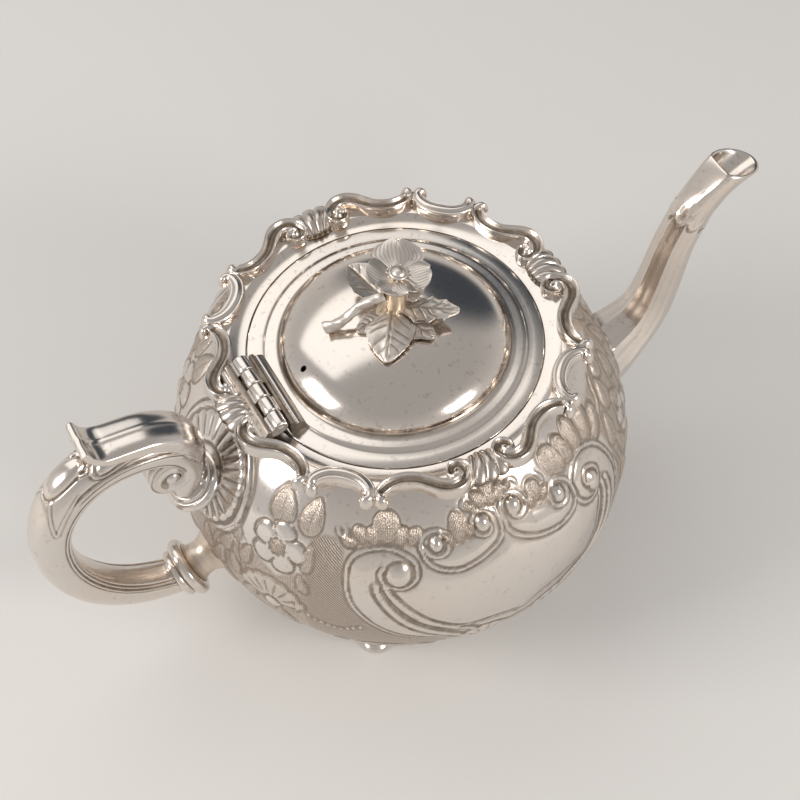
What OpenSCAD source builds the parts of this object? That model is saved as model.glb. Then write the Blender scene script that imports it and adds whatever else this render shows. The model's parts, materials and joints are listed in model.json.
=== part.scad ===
// Silver-plated teapot: raised round body on four cast feet, cast scroll rim,
// hinged domed lid with a blossom finial, panelled swan spout, scroll handle.
// Millimetres. The body stands on its axis: +X to the spout, +Z up, table at z = 0.

/* [Body] */
// Greatest radius of the body
body_r = 80; // [76:0.5:84]
// Height of the greatest radius above the table
girth_z = 56; // [52:0.5:60]
// Height of the body's upper edge
body_top_z = 106.5; // [102:0.5:111]
// Height of the body's lower edge
body_base_z = 5; // [4:0.5:8]
// Radius of the body's lower edge
base_r = 46; // [42:0.5:50]
// Roundness of the belly below the girth
lower_round = 1.83; // [1.7:0.01:2]
// Roundness of the shoulder above the girth
upper_round = 2.22; // [2:0.01:2.4]
// Thickness of the body's sheet
wall = 1.2; // [0.9:0.1:1.6]

/* [Gallery and lid seat] */
// Width of the gallery from the lid to the body's edge
gallery_w = 7.2; // [6:0.1:9]
// Height from the body's edge to the lid's seat
seat_rise = 0.9; // [0.6:0.1:2]
// Width of the ledge that the lid rests on
ledge_w = 3.3; // [2.8:0.1:4]
// Depth of the neck below the ledge
neck_drop = 6; // [5:0.5:9]
// Thickness of the gallery's sheet
gallery_t = 1.2; // [1:0.1:1.5]

/* [Scroll rim] */
// Height of the cast scrolls
rim_h = 4.2; // [3.4:0.1:5]
// Half width of a scroll at its middle
rim_half_w = 2.1; // [1.6:0.1:2.6]
// Reach of the curled tips outside the gallery
rim_reach = 4; // [3:0.1:5]

/* [Lid] */
// Radius of the lid's flange
lid_r = 49.5; // [46:0.5:52]
// Thickness of the lid's flange
flange_t = 1.2; // [1:0.1:1.6]
// Radius of the dome
dome_r = 38.5; // [36:0.5:39]
// Height of the dome
dome_h = 13.4; // [11:0.2:16]
// Thickness of the lid's sheet
lid_t = 1; // [0.8:0.1:1.4]
// Clearance round the lid's flange
lid_gap = 0.3; // [0.2:0.05:0.6]
// Clearance between the bezel and the neck
bezel_gap = 1; // [0.9:0.1:1.4]
// Depth of the bezel under the lid
bezel_h = 4.5; // [3:0.5:5]
// Diameter of the steam hole
vent_d = 2; // [1.5:0.1:3]

/* [Hinge] */
// Length of the hinge
hinge_l = 31; // [26:0.5:34]
// Diameter of the knuckles
knuckle_d = 5.4; // [4.8:0.1:6]
// Diameter of the hinge pin
hinge_pin_d = 1.8; // [1.4:0.1:2.2]
// Height of the hinge's axis above the lid's seat
hinge_rise = 6.9; // [6.4:0.1:8]
// Running clearance of the pin, on the radius
pin_gap = 0.05; // [0.03:0.01:0.09]
// Gap between neighbouring knuckles
knuckle_gap = 0.2; // [0.1:0.05:0.4]

/* [Spout] */
// Scale of the spout's thickness
spout_girth = 1; // [0.92:0.01:1.08]
// Thickness of the spout's wall
spout_wall = 1.5; // [1.2:0.1:1.8]
// Diameter of the strainer holes
strainer_d = 3; // [2.4:0.1:3.4]
// Distance between strainer holes
strainer_pitch = 4.6; // [4.2:0.1:5.5]

/* [Handle] */
// Scale of the handle's thickness
handle_girth = 1; // [0.92:0.01:1.08]
// Thickness of the hollow handle's wall
handle_wall = 1.6; // [1.3:0.1:2]
// Radius of the scroll under the handle's upper end
volute_r = 7.4; // [6.8:0.1:8]
// Width of that scroll
volute_w = 15; // [13:0.5:16]
// Thickness of the thumb rest
thumb_t = 1.5; // [1.2:0.1:2]
// Height of the thumb rest's raised tip above the handle
thumb_rise = 7.5; // [5:0.5:9]
// Radius of the upper collar
upper_collar_r = 11.2; // [10.5:0.1:12]
// Radius of the lower collar
lower_collar_r = 11.3; // [10.5:0.1:12]
// Diameter of the spigots inside the handle's ends
spigot_d = 6.4; // [5.6:0.1:6.8]
// Length of the spigots inside the handle
spigot_l = 4; // [3:0.5:5]

/* [Feet] */
// Turn of the feet from the line between spout and handle, in degrees
foot_turn = 50; // [40:1:55]
// Distance of the feet from the body's axis
foot_place_r = 57; // [54:0.5:60]
// Radius of a foot's sole
sole_r = 5; // [4:0.1:6]
// Radius of a foot's waist
foot_waist_r = 3.2; // [2.6:0.1:3.8]
// Radius of a foot where it meets the body
foot_top_r = 7; // [6:0.1:8]

/* [Finial] */
// Height of the finial's stem above the dome
stem_h = 14; // [11:0.5:17]
// Radius of the stem at its middle
stem_r = 3.9; // [3.4:0.1:4.4]
// Lean of the stem toward the spout, in degrees
stem_lean = 14; // [8:1:18]
// Radius of the blossom
blossom_r = 10.5; // [9:0.1:12]
// Thickness of the cast petals and leaves
petal_t = 1.1; // [0.9:0.1:1.4]
// Diameter of the threaded stud
stud_d = 3; // [2.5:0.1:3.6]

/* [Hidden] */

silver = "#cfc7bf";
warm_silver = "#c9b48c";
$fn = 96;
fine = 24;
tiny = 0.01;

// Heights and radii that several pieces share
edge_r = lid_r + gallery_w;
seat_z = body_top_z + seat_rise;
neck_r = lid_r - ledge_w;
gallery_z = seat_z + 2.4;
gallery_out_r = edge_r + 2.1;
dome_z = seat_z + 3.2;
apex_z = dome_z + dome_h;
hinge_x = -lid_r;
hinge_z = seat_z + hinge_rise;
knuckle_r = knuckle_d / 2;
relief_r = knuckle_r + 0.4;

// Superellipse heights that make the belly pass through its upper and lower edges
upper_h = (body_top_z - girth_z) / pow(1 - pow(edge_r / body_r, upper_round), 1 / upper_round);
lower_h = (girth_z - body_base_z) / pow(1 - pow(base_r / body_r, lower_round), 1 / lower_round);

// Radius of the belly at height z, moved out by more
function belly(z, more = 0) =
    let (up = z > girth_z, n = up ? upper_round : lower_round,
         q = abs(z - girth_z) / ((up ? upper_h : lower_h) + more))
    (body_r + more) * pow(max(0, 1 - pow(q, n)), 1 / n);

// Points of the belly from height a to height b
function belly_line(a, b, more = 0, steps = 18) =
    [for (i = [0 : steps]) let (z = a + (b - a) * i / steps) [belly(z, more), z]];

function reversed(v) = [for (i = [len(v) - 1 : -1 : 0]) v[i]];

// Everything inside the belly's outer face, for cutting what is seated on it
module belly_solid(more = 0) {
    rotate_extrude()
        polygon(concat([[0, body_base_z]],
            belly_line(body_base_z, girth_z, more),
            belly_line(girth_z, body_top_z, more), [[0, body_top_z]]));
}

// ---- sweeps in the plane of symmetry ----

// Smooth rows between hand-chosen rows (Catmull-Rom)
function blend4(a, b, c, d, t) =
    0.5 * (2 * b + (c - a) * t + (2 * a - 5 * b + 4 * c - d) * t * t
        + (3 * b - a - 3 * c + d) * t * t * t);
function smooth(rows, steps) =
    let (last = len(rows) - 1)
    concat([for (i = [0 : last - 1], j = [0 : steps - 1])
        blend4(rows[max(i - 1, 0)], rows[i], rows[i + 1], rows[min(i + 2, last)], j / steps)],
        [rows[last]]);

// Direction of the row's line in x and z, from its neighbours
function heading(rows, i) =
    let (a = rows[max(i - 1, 0)], b = rows[min(i + 1, len(rows) - 1)],
         d = [b[0] - a[0], b[1] - a[1]])
    d / norm(d);

// One ring: x, z of the centre, half width along Y, half depth in the plane. Rings of many sides
// have flattened faces, as the handle has
flattened = 0.8;
function ring(rows, i, sides, cut) =
    let (row = rows[i], d = heading(rows, i))
    [for (k = [0 : sides - 1])
        let (a = 360 * k / sides, flat = sides > 10 ? flattened : 1,
             y = (row[2] - cut) * sign(sin(a)) * pow(abs(sin(a)), flat),
             n = (row[3] - cut) * sign(cos(a)) * pow(abs(cos(a)), flat))
        [row[0] - d[1] * n, y, row[1] + d[0] * n]];

function quads(start, rings, sides, flip) =
    [for (i = [0 : rings - 2], k = [0 : sides - 1])
        let (a = start + i * sides + k, b = start + i * sides + (k + 1) % sides,
             c = b + sides, d = a + sides)
        each flip ? [[a, c, b], [a, d, c]] : [[a, b, c], [a, c, d]]];

// Solid bar along the rows
module bar(rows, sides) {
    m = len(rows);
    polyhedron(
        [for (i = [0 : m - 1]) each ring(rows, i, sides, 0)],
        concat(quads(0, m, sides, false),
            [[for (k = [sides - 1 : -1 : 0]) k], [for (k = [0 : sides - 1]) (m - 1) * sides + k]]),
        convexity = 6);
}

// Hollow tube along the rows, open at both ends
module tube(rows, sides, w) {
    m = len(rows);
    inner = m * sides;
    ends = [for (k = [0 : sides - 1])
        let (a = k, b = (k + 1) % sides, e = (m - 1) * sides)
        each [[a, inner + b, b], [a, inner + a, inner + b],
            [e + b, inner + e + a, e + a], [e + b, inner + e + b, inner + e + a]]];
    polyhedron(
        concat([for (i = [0 : m - 1]) each ring(rows, i, sides, 0)],
            [for (i = [0 : m - 1]) each ring(rows, i, sides, w)]),
        concat(quads(0, m, sides, false), quads(inner, m, sides, true), ends),
        convexity = 8);
}

// ---- body ----

module body_shell() {
    color(silver) difference() {
        rotate_extrude()
            polygon(concat(belly_line(body_base_z, girth_z), belly_line(girth_z, body_top_z),
                reversed(concat(belly_line(body_base_z, girth_z, -wall),
                    belly_line(girth_z, body_top_z, -wall)))));
        strainer_holes();
    }
}

// Main lines of the chasing on one side: degrees round the body and height
chased_lines = [
    // volutes beside the smooth field
    [[-118.6, 84.8], [-123, 82.6], [-118.5, 79], [-114.2, 83.9], [-117, 91], [-125, 92.5],
        [-130.8, 87.1], [-131.6, 76.4], [-128.4, 65.7], [-122, 55.7], [-112, 48.7], [-105, 41]],
    [[-60.5, 88.4], [-57.6, 82.6], [-61.5, 77.2], [-67, 83], [-66, 91], [-60, 94],
        [-53.2, 89.7], [-50.2, 76.4], [-51.6, 63.7], [-56.5, 52.7], [-66, 45.3], [-71, 36]],
    // folds inside them
    [[-123.5, 75.5], [-119, 65.7], [-112, 57.2], [-103, 52.8], [-94, 52.6], [-88, 48.3]],
    [[-56.4, 75.5], [-58.4, 63.7], [-64, 55.4], [-73, 54.8], [-81, 54.2], [-87, 49.6]],
    // scrolls above it
    [[-106.5, 91.2], [-109.5, 93.8], [-112.6, 91.2], [-111.2, 87], [-106, 83.9], [-98, 84.7],
        [-91.9, 89.7], [-91.4, 96.7], [-96, 98.5], [-97.8, 93.9]],
    [[-82.4, 93.9], [-83.5, 98.4], [-88.4, 97.8], [-88.2, 89.3], [-82, 83.2], [-75, 80.6],
        [-70.2, 85.3], [-70.6, 91.5], [-74, 93]]];
chased_high = 0.6;
chased_half_w = 1.1;
chased_gap = 0.1;

// Ridge along one line, its foot just clear of the belly's face
module chased_ridge(path) {
    rows = smooth(path, 3);
    m = len(rows);
    function on_belly(a, z, more) = let (r = belly(z) + more) [r * cos(a), r * sin(a), z];
    function place(i) = on_belly(rows[i][0], rows[i][1], 0);
    function out(i) =
        let (z = rows[i][1], a = rows[i][0], v = [cos(a), sin(a), belly(z - 0.5) - belly(z + 0.5)])
        v / norm(v);
    function foot(i, shift) =
        let (ahead = place(min(i + 1, m - 1)) - place(max(i - 1, 0)),
             p = place(i) + shift * cross(ahead / norm(ahead), out(i)))
        on_belly(atan2(p[1], p[0]), p[2], chased_gap);
    pts = [for (i = [0 : m - 1])
        each [place(i) + chased_high * out(i), foot(i, -chased_half_w), foot(i, chased_half_w)]];
    polyhedron(pts, concat(quads(0, m, 3, false), [[2, 1, 0], [3 * m - 3, 3 * m - 2, 3 * m - 1]]),
        convexity = 6);
}

// Raised lines of the chasing on both sides
module chased_scrolls() {
    color(silver) for (side = [0, 1]) mirror([0, side, 0]) {
        for (path = chased_lines) chased_ridge(path);
    }
}

// Strainer holes through the wall behind the spout's root
strainer_z = 46;
module strainer_holes() {
    row_rise = strainer_pitch * 0.87;
    for (row = [-2 : 2], i = [-2 : 2])
        if (abs(row) + abs(i) < 4)
            let (shift = row % 2 == 0 ? -0.25 : 0.25)
                translate([body_r - 14, (i + shift) * strainer_pitch, strainer_z + row * row_rise])
                    rotate([0, 90, 0]) cylinder(d = strainer_d, h = 20, $fn = fine);
}

// Bottom disc, soldered under the body's lower edge and slightly raised inside
module base_plate() {
    rise = 1.4;
    color(silver) rotate_extrude()
        polygon([[0, body_base_z - wall + rise], [base_r * 0.6, body_base_z - wall + rise],
            [base_r - 5, body_base_z - wall], [base_r, body_base_z - wall], [base_r, body_base_z],
            [base_r - 5 - wall / 2, body_base_z], [base_r * 0.6 - wall / 2, body_base_z + rise],
            [0, body_base_z + rise]]);
}

// Height that the foot's column would reach if the belly didn't cut it
foot_top_z = body_base_z + 21;

// Cast foot: turned column under the belly, cut to the belly's curve
module foot(turn) {
    color(silver) difference() {
        rotate([0, 0, turn]) translate([foot_place_r, 0, 0]) rotate_extrude()
            polygon([[0, 0], [sole_r - 0.6, 0], [sole_r, 0.6], [sole_r, 1.6],
                [foot_waist_r + 0.6, 3], [foot_waist_r, 4.6], [foot_waist_r + 0.8, 7],
                [foot_top_r - 0.8, 10], [foot_top_r, 13], [foot_top_r - 0.5, foot_top_z],
                [0, foot_top_z]]);
        belly_solid();
    }
}

// Hollow slope of the gallery, from the step round the lid out to the flat under the scrolls
step_h = 0.9;
gallery_hollow = [for (i = [0 : 8])
    let (t = i / 8)
    [lid_r + lid_gap + (edge_r - 1.2 - lid_r - lid_gap) * t,
        seat_z + step_h + (gallery_z - seat_z - step_h) * t * t]];

// Sheet ring: neck, lid seat, hollowed gallery and the flat that carries the scrolls
module gallery() {
    color(silver) rotate_extrude()
        polygon(concat([[neck_r, seat_z - neck_drop], [neck_r, seat_z], [lid_r + lid_gap, seat_z]],
            gallery_hollow,
            [[gallery_out_r, gallery_z], [gallery_out_r, gallery_z - gallery_t],
                [edge_r, gallery_z - gallery_t - 0.6], [edge_r, body_top_z],
                [edge_r - 1.5, body_top_z], [edge_r - 1.5, gallery_z - gallery_t - 0.8],
                [lid_r + lid_gap + 0.8, seat_z - gallery_t], [neck_r + gallery_t, seat_z - gallery_t],
                [neck_r + gallery_t, seat_z - neck_drop]]));
}

// ---- scroll rim ----

// Path of an S-scroll: degrees from the shell's middle, distance outside the gallery's edge, share
// of the full half width
s_scroll = [[8.8, 0.2, 0.7], [9, 1.2, 0.95], [10, 3, 0.9], [12, 4.3, 1], [15, 3.6, 1.05],
    [18.5, 2, 1], [23, 0.6, 1], [27, 0.4, 1], [30.4, 1.7, 0.95], [32.4, 3.6, 1], [33, 4.9, 0.6]];
// Path of a C-scroll: degrees from the quadrant's middle
c_scroll = [[-8, 4, 0.7], [-7.6, 1.8, 0.9], [-4.5, 0.2, 1], [0, -0.5, 1.05], [4.5, 0.2, 1],
    [7.6, 1.8, 0.9], [8, 4, 0.7]];
scroll_steps = 3;
scroll_sides = 8;

// Half-round bead on the gallery's flat, along a path of [degrees, distance, share]
module bead(path) {
    rows = smooth(path, scroll_steps);
    m = len(rows);
    function at(i) = let (r = edge_r + rows[i][1] * rim_reach / 3 - 0.6, a = rows[i][0])
        [r * cos(a), r * sin(a)];
    pts = [for (i = [0 : m - 1])
        let (p = at(i), q = at(min(i + 1, m - 1)) - at(max(i - 1, 0)), d = q / norm(q),
             half = rim_half_w * rows[i][2], high = rim_h * (0.55 + 0.45 * rows[i][2]))
        each [for (k = [0 : scroll_sides - 1])
            let (a = 180 * k / (scroll_sides - 1), s = half * cos(a))
            [p[0] - d[1] * s, p[1] + d[0] * s, gallery_z + high * sin(a)]]];
    polyhedron(pts, concat(quads(0, m, scroll_sides, true),
        [[for (k = [0 : scroll_sides - 1]) k],
            [for (k = [scroll_sides - 1 : -1 : 0]) (m - 1) * scroll_sides + k]]), convexity = 6);
}

// Round curl at the end of a scroll
module curl(angle, out, r) {
    rotate([0, 0, angle]) translate([edge_r + out * rim_reach / 3 - 0.6, 0, gallery_z])
        rotate_extrude($fn = fine)
            polygon(concat([[0, 0]], [for (i = [0 : 6]) [r * cos(15 * i), rim_h * 0.9 * sin(15 * i)]]));
}

// Fluted shell between two S-scrolls
shell_half_angle = 7.2;
shell_flutes = 5;
module fluted_shell() {
    across = 40;
    along = 5;
    low_r = edge_r - 3.6;
    high_r = edge_r + 5.4 * rim_reach / 3;
    function point(i, j) =
        let (u = i / across, v = j / along, a = shell_half_angle * (2 * u - 1) * (0.75 + 0.25 * v),
             wave = 0.5 + 0.5 * abs(sin(180 * shell_flutes * u)),
             r = low_r + (high_r - low_r) * v + (v == 1 ? 0.8 * wave : 0))
        [r * cos(a), r * sin(a), gallery_z + rim_h * (0.35 + 0.65 * sin(180 * (0.12 + 0.72 * v))) * wave];
    w = along + 1;
    n = (across + 1) * w;
    top = [for (i = [0 : across], j = [0 : along]) point(i, j)];
    low = [for (p = top) [p[0], p[1], gallery_z]];
    rim = concat([for (j = [0 : along]) j], [for (i = [1 : across]) i * w + along],
        [for (j = [along - 1 : -1 : 0]) across * w + j], [for (i = [across - 1 : -1 : 1]) i * w]);
    polyhedron(concat(top, low), concat(
        [for (i = [0 : across - 1], j = [0 : along - 1])
            let (a = i * w + j, b = a + 1, c = a + w, d = c + 1)
            each [[a, c, b], [b, c, d], [n + a, n + b, n + c], [n + b, n + d, n + c]]],
        [for (k = [0 : len(rim) - 1])
            let (a = rim[k], b = rim[(k + 1) % len(rim)])
            each [[a, b, n + a], [b, n + b, n + a]]]), convexity = 8);
}

// One cast section: a shell with an S-scroll on each side
module rim_shell(turn) {
    color(silver) rotate([0, 0, turn]) {
        fluted_shell();
        for (side = [0, 1]) mirror([0, side, 0]) bead(s_scroll);
    }
}
// The section by the handle, cut back where the hinge stands
module rim_shell_handle() {
    difference() {
        rim_shell(180);
        translate([block_out_x, -hinge_l / 2, seat_z]) cube([20, hinge_l, 20]);
    }
}

module rim_c_scrolls() {
    color(silver) for (q = [0 : 3]) rotate([0, 0, 45 + 90 * q]) {
        bead(c_scroll);
        for (side = [-1, 1]) curl(side * 8.4, 4.4, 1.9);
    }
}

// ---- spout ----

// Rows of x counted from the girth, z, half width, half depth, from inside the body to the mouth
spout_rows = [[-10, 45, 16, 18.5], [-1, 45.3, 15.2, 17], [6, 47, 13.8, 15], [13.3, 51, 11.6, 12],
    [20.6, 57, 9.8, 9.8], [25.6, 65, 8.6, 8.6], [29.2, 77, 7.8, 7.9], [32.4, 90, 7.3, 7.4],
    [35.8, 99, 7.1, 7.3], [40, 107.8, 7, 7.2], [45, 114.2, 6.7, 7], [50, 119.2, 6.5, 6.9],
    [55.2, 124.4, 6.6, 7], [60.6, 130, 6.8, 7.2]];
spout_sides = 8;
// Cut of the mouth: a point of the rim, x counted from the girth, and the plane's slope in degrees
mouth_x = 44;
mouth_z = 127.4;
mouth_slope = 22;

function spout_line() = [for (row = smooth(spout_rows, 2))
    [row[0] + body_r, row[1], row[2] * spout_girth, row[3] * spout_girth]];

module mouth_cut() {
    translate([mouth_x + body_r, 0, mouth_z]) rotate([0, mouth_slope, 0])
        translate([-8, -20, 0]) cube([60, 40, 30]);
}

module spout() {
    color(silver) difference() {
        tube(spout_line(), spout_sides, spout_wall);
        belly_solid();
        mouth_cut();
    }
}

// ---- handle ----

// Middle of each collar, x counted from the girth, and the lean of its axis in degrees
upper_x = 2.3;
upper_z = 85.6;
upper_lean = 56;
lower_x = -7.5;
lower_z = 34;
lower_lean = -19;
upper_collar_t = 4;
lower_collar_t = 5.6;

// Rows of x counted from the girth, z, half width, half depth, from the lower collar to the upper one
handle_rows = [
    [lower_x, lower_z, 5.9, 5.9],
    [lower_x - 4 * cos(lower_lean), lower_z + 4 * sin(lower_lean), 5.9, 5.9],
    [-15.5, 33.6, 6, 6], [-21.5, 36.2, 6.2, 6.2], [-28, 40, 6.3, 6.4],
    [-35, 45.4, 6.4, 6.5], [-41.2, 52.4, 6.5, 6.6], [-46.2, 61, 6.6, 6.6],
    [-49.8, 70.6, 6.7, 6.6], [-51.3, 80.6, 6.8, 6.6], [-50.6, 90.4, 7, 6.6],
    [-47.2, 99.6, 7.2, 6.7], [-41.4, 107.6, 7.4, 6.7], [-33.4, 113.6, 7.6, 6.5],
    [-23.4, 116.6, 7.8, 6.3], [-13.4, 116.4, 7.9, 6], [-4.6, 112.6, 7.9, 5.7],
    [0.8, 105.8, 7.8, 5.4], [2, 98, 7.6, 5.4],
    [upper_x - 6 * cos(upper_lean), upper_z + 6 * sin(upper_lean), 7.2, 6],
    [upper_x, upper_z, 7, 6]];
handle_sides = 16;
handle_steps = 2;
// Numbers of the rows between which the thumb rest's cap and the tongue lie
crown_from = 14;
crown_to = 16.5;
tongue_from = 11;
tongue_to = 13.5;

function handle_line() = [for (row = smooth(handle_rows, handle_steps))
    [row[0] - body_r, row[1], row[2] * handle_girth, row[3] * handle_girth]];

module on_upper_axis(along = 0) {
    translate([upper_x - body_r, 0, upper_z]) rotate([0, upper_lean - 90, 0])
        translate([0, 0, along]) children();
}
module on_lower_axis(along = 0) {
    translate([lower_x - body_r, 0, lower_z]) rotate([0, lower_lean - 90, 0])
        translate([0, 0, along]) children();
}

module handle() {
    color(silver) difference() {
        tube(handle_line(), handle_sides, handle_wall);
        on_upper_axis(-20) cylinder(r = 20, h = 20 + upper_collar_t / 2);
        on_lower_axis(-20) cylinder(r = 20, h = 20 + lower_collar_t / 2);
    }
}

// Scroll under the handle's upper end
module handle_volute() {
    color(silver) difference() {
        translate([-5.4 - body_r, volute_w / 2, 101.4]) rotate([90, 0, 0])
            rotate_extrude()
                polygon([[0, -0.8], [2.4, -0.8], [2.8, 0], [volute_r - 0.6, 0], [volute_r, 0.6],
                    [volute_r, volute_w - 0.6], [volute_r - 0.6, volute_w], [2.8, volute_w],
                    [2.4, volute_w + 0.8], [0, volute_w + 0.8]]);
        bar(handle_line(), handle_sides);
    }
}

// Cap on the handle's crown whose end turns up under the thumb
module thumb_rest() {
    line = handle_line();
    wide = [for (i = [crown_from * handle_steps : crown_to * handle_steps])
        let (row = line[i])
        [row[0], row[1], row[2] + 0.5 * thumb_t, row[3] + thumb_t]];
    tip = smooth([[-17 - body_r, 122.4, 7.6, thumb_t / 2], [-23 - body_r, 124.6, 7.4, thumb_t / 2],
        [-26.6 - body_r, 125 + thumb_rise * 0.45, 7, thumb_t / 2],
        [-28 - body_r, 125.6 + thumb_rise, 6, thumb_t / 2]], 3);
    color(silver) difference() {
        union() {
            intersection() {
                bar(wide, handle_sides);
                translate([-32 - body_r, -12, 112]) cube([40, 24, 20]);
            }
            bar(tip, handle_sides);
        }
        bar(line, handle_sides);
    }
}

// Rounded tongue below the thumb rest, on the handle's outer side
module handle_tongue() {
    line = handle_line();
    first = tongue_from * handle_steps;
    rows = [for (i = [first : tongue_to * handle_steps])
        let (row = line[i], d = heading(line, i), out = row[3] - 1,
             share = i == first ? 0.55 : (i == first + 1 ? 0.85 : 1))
        [row[0] - d[1] * out, row[1] + d[0] * out, 4.6 * share, 2.6 * share]];
    color(silver) difference() {
        bar(rows, 12);
        bar(line, handle_sides);
    }
}

// Boss on the shoulder with the spigot that enters the handle
module upper_socket() {
    color(silver) {
        difference() {
            on_upper_axis() rotate_extrude()
                polygon([[0, -30], [10.4, -30], [9.4, -14], [8.4, -7], [8.4, -upper_collar_t / 2],
                    [0, -upper_collar_t / 2]]);
            belly_solid();
        }
        on_upper_axis(-upper_collar_t / 2 - tiny) cylinder(d = spigot_d, h = upper_collar_t + spigot_l);
    }
}

module collar(r, t, bead_r) {
    rotate_extrude()
        polygon(concat([[spigot_d / 2, -t / 2], [r - bead_r, -t / 2]],
            [for (i = [-5 : 5]) [r - bead_r + bead_r * cos(18 * i), t / 2 * sin(18 * i)]],
            [[r - bead_r, t / 2], [spigot_d / 2, t / 2]]));
}

module upper_collar() {
    color(silver) difference() {
        on_upper_axis() collar(upper_collar_r, upper_collar_t, 2.4);
        belly_solid();
    }
}

module lower_socket() {
    color(warm_silver) {
        difference() {
            on_lower_axis() rotate_extrude()
                polygon([[0, -30], [11, -30], [10, -14], [7.2, -11], [6.2, -7.5], [6.4, -4.5],
                    [7.6, -lower_collar_t / 2], [0, -lower_collar_t / 2]]);
            belly_solid();
        }
        on_lower_axis(-lower_collar_t / 2 - tiny) cylinder(d = spigot_d, h = lower_collar_t + spigot_l);
    }
}

// Double collar: a broad ring and a smaller one on the handle's side
module lower_collar() {
    small_t = 2.2;
    wide_t = lower_collar_t - small_t;
    color(silver) {
        on_lower_axis(-lower_collar_t / 2 + wide_t / 2) collar(lower_collar_r, wide_t, 1.6);
        on_lower_axis(lower_collar_t / 2 - small_t / 2) collar(lower_collar_r - 2.4, small_t, 1);
    }
}

// ---- hinge ----

knuckles = 5;
knuckle_l = hinge_l / knuckles;
block_out_x = hinge_x - 7.8;

// Barrel of one knuckle, counted from the front end
module knuckle(i) {
    y = -hinge_l / 2 + i * knuckle_l + knuckle_gap / 2;
    translate([hinge_x, y + knuckle_l - knuckle_gap, hinge_z]) rotate([90, 0, 0])
        cylinder(r = knuckle_r, h = knuckle_l - knuckle_gap);
}
module knuckle_web(i, toward) {
    y = -hinge_l / 2 + i * knuckle_l + knuckle_gap / 2;
    translate([toward < 0 ? hinge_x - relief_r - tiny : hinge_x, y, hinge_z - knuckle_r])
        cube([relief_r + tiny, knuckle_l - knuckle_gap, knuckle_r + 0.9]);
}
module pin_bore() {
    translate([hinge_x, hinge_l, hinge_z]) rotate([90, 0, 0])
        cylinder(d = hinge_pin_d + 2 * pin_gap, h = 2 * hinge_l);
}
// Bar along the hinge from a profile in x and z
module hinge_bar(profile) {
    translate([0, hinge_l / 2, 0]) rotate([90, 0, 0]) linear_extrude(hinge_l) polygon(profile);
}

// Reeded block on the gallery with three knuckles
module hinge_block() {
    in_x = hinge_x - relief_r;
    color(silver) difference() {
        union() {
            hinge_bar([[block_out_x, seat_z], [block_out_x, hinge_z - 2.6],
                [block_out_x + 0.5, hinge_z - 1.9], [block_out_x + 1.3, hinge_z - 1.7],
                [block_out_x + 1.5, hinge_z - 0.9],
                [block_out_x + 2.2, hinge_z - 0.5], [block_out_x + 3, hinge_z - 0.6],
                [block_out_x + 3.3, hinge_z + 0.2], [block_out_x + 3.8, hinge_z + 0.7],
                [in_x, hinge_z + 0.7], [in_x, seat_z]]);
            for (i = [0 : 2 : knuckles - 1]) {
                knuckle(i);
                knuckle_web(i, -1);
            }
        }
        pin_bore();
        rotate_extrude() polygon(concat([[0, seat_z - 2], [0, seat_z + step_h]], gallery_hollow,
            [[gallery_out_r + 5, gallery_z], [gallery_out_r + 5, seat_z - 2]]));
    }
}

module hinge_pin() {
    color(silver) translate([hinge_x, hinge_l / 2, hinge_z]) rotate([90, 0, 0])
        cylinder(d = hinge_pin_d, h = hinge_l);
}

// Leaf on the lid with two knuckles
module lid_leaf() {
    out_x = hinge_x + relief_r;
    in_x = -dome_r - 2.4;
    color(silver) difference() {
        union() {
            hinge_bar([[out_x, seat_z + 0.4], [out_x, hinge_z + 0.2], [out_x + 2.6, hinge_z + 0.2],
                [out_x + 3, hinge_z - 0.6], [in_x, hinge_z - 2.4], [in_x, seat_z + 0.4]]);
            for (i = [1 : 2 : knuckles - 1]) {
                knuckle(i);
                knuckle_web(i, 1);
            }
        }
        pin_bore();
        lid_solid();
    }
}

// ---- lid ----

function dome_line(cut) = [for (i = [0 : 20])
    let (a = 90 * i / 20)
    [(dome_r - cut) * pow(cos(a), 0.92), dome_z - cut * 0.4 + (dome_h - 0.6 * cut) * pow(sin(a), 1.1)]];
lid_outer = concat(
    [[lid_r, seat_z], [lid_r, seat_z + flange_t - 0.3], [lid_r - 0.3, seat_z + flange_t],
        [dome_r + 5.2, seat_z + flange_t + 0.5], [dome_r + 4.8, seat_z + flange_t + 1],
        [dome_r + 3.6, seat_z + flange_t + 1.1], [dome_r + 3.2, dome_z - 0.4],
        [dome_r + 2.4, dome_z], [dome_r + 1.2, dome_z], [dome_r + 0.6, dome_z - 0.3]],
    dome_line(0));

// Everything under the lid's upper face
module lid_solid() {
    rotate_extrude() polygon(concat([[0, seat_z]], lid_outer));
}

module lid() {
    inner = concat([[dome_r + 3.4, seat_z], [dome_r + 2.2, dome_z - 1.4], [dome_r - 0.4, dome_z - 1.5]],
        dome_line(lid_t));
    color(silver) difference() {
        rotate_extrude() polygon(concat(lid_outer, reversed(inner)));
        translate([-dome_r + 5, 0, seat_z]) cylinder(d = vent_d, h = 40, $fn = fine);
        translate([0, 0, seat_z]) cylinder(d = stud_d + 0.2, h = 40, $fn = fine);
    }
}

// Ring under the lid that drops inside the neck
module lid_bezel() {
    color(silver) rotate_extrude()
        translate([neck_r - bezel_gap - lid_t, seat_z - bezel_h]) square([lid_t, bezel_h]);
}

// ---- finial ----

module on_stem(along = 0) {
    translate([0, 0, apex_z]) rotate([0, stem_lean, 0]) translate([0, 0, along]) children();
}

// Turned stem with a spread foot, its radius moved out by more
module stem_core(more = 0) {
    on_stem() rotate_extrude()
        polygon([[0, -3], [stem_r + 2 + more, -3], [stem_r + 1.6 + more, 0.6], [stem_r + 0.5 + more, 2.4],
            [stem_r + more, stem_h * 0.45], [stem_r + 0.2 + more, stem_h * 0.8],
            [stem_r + 0.9 + more, stem_h], [0, stem_h]]);
}

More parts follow.
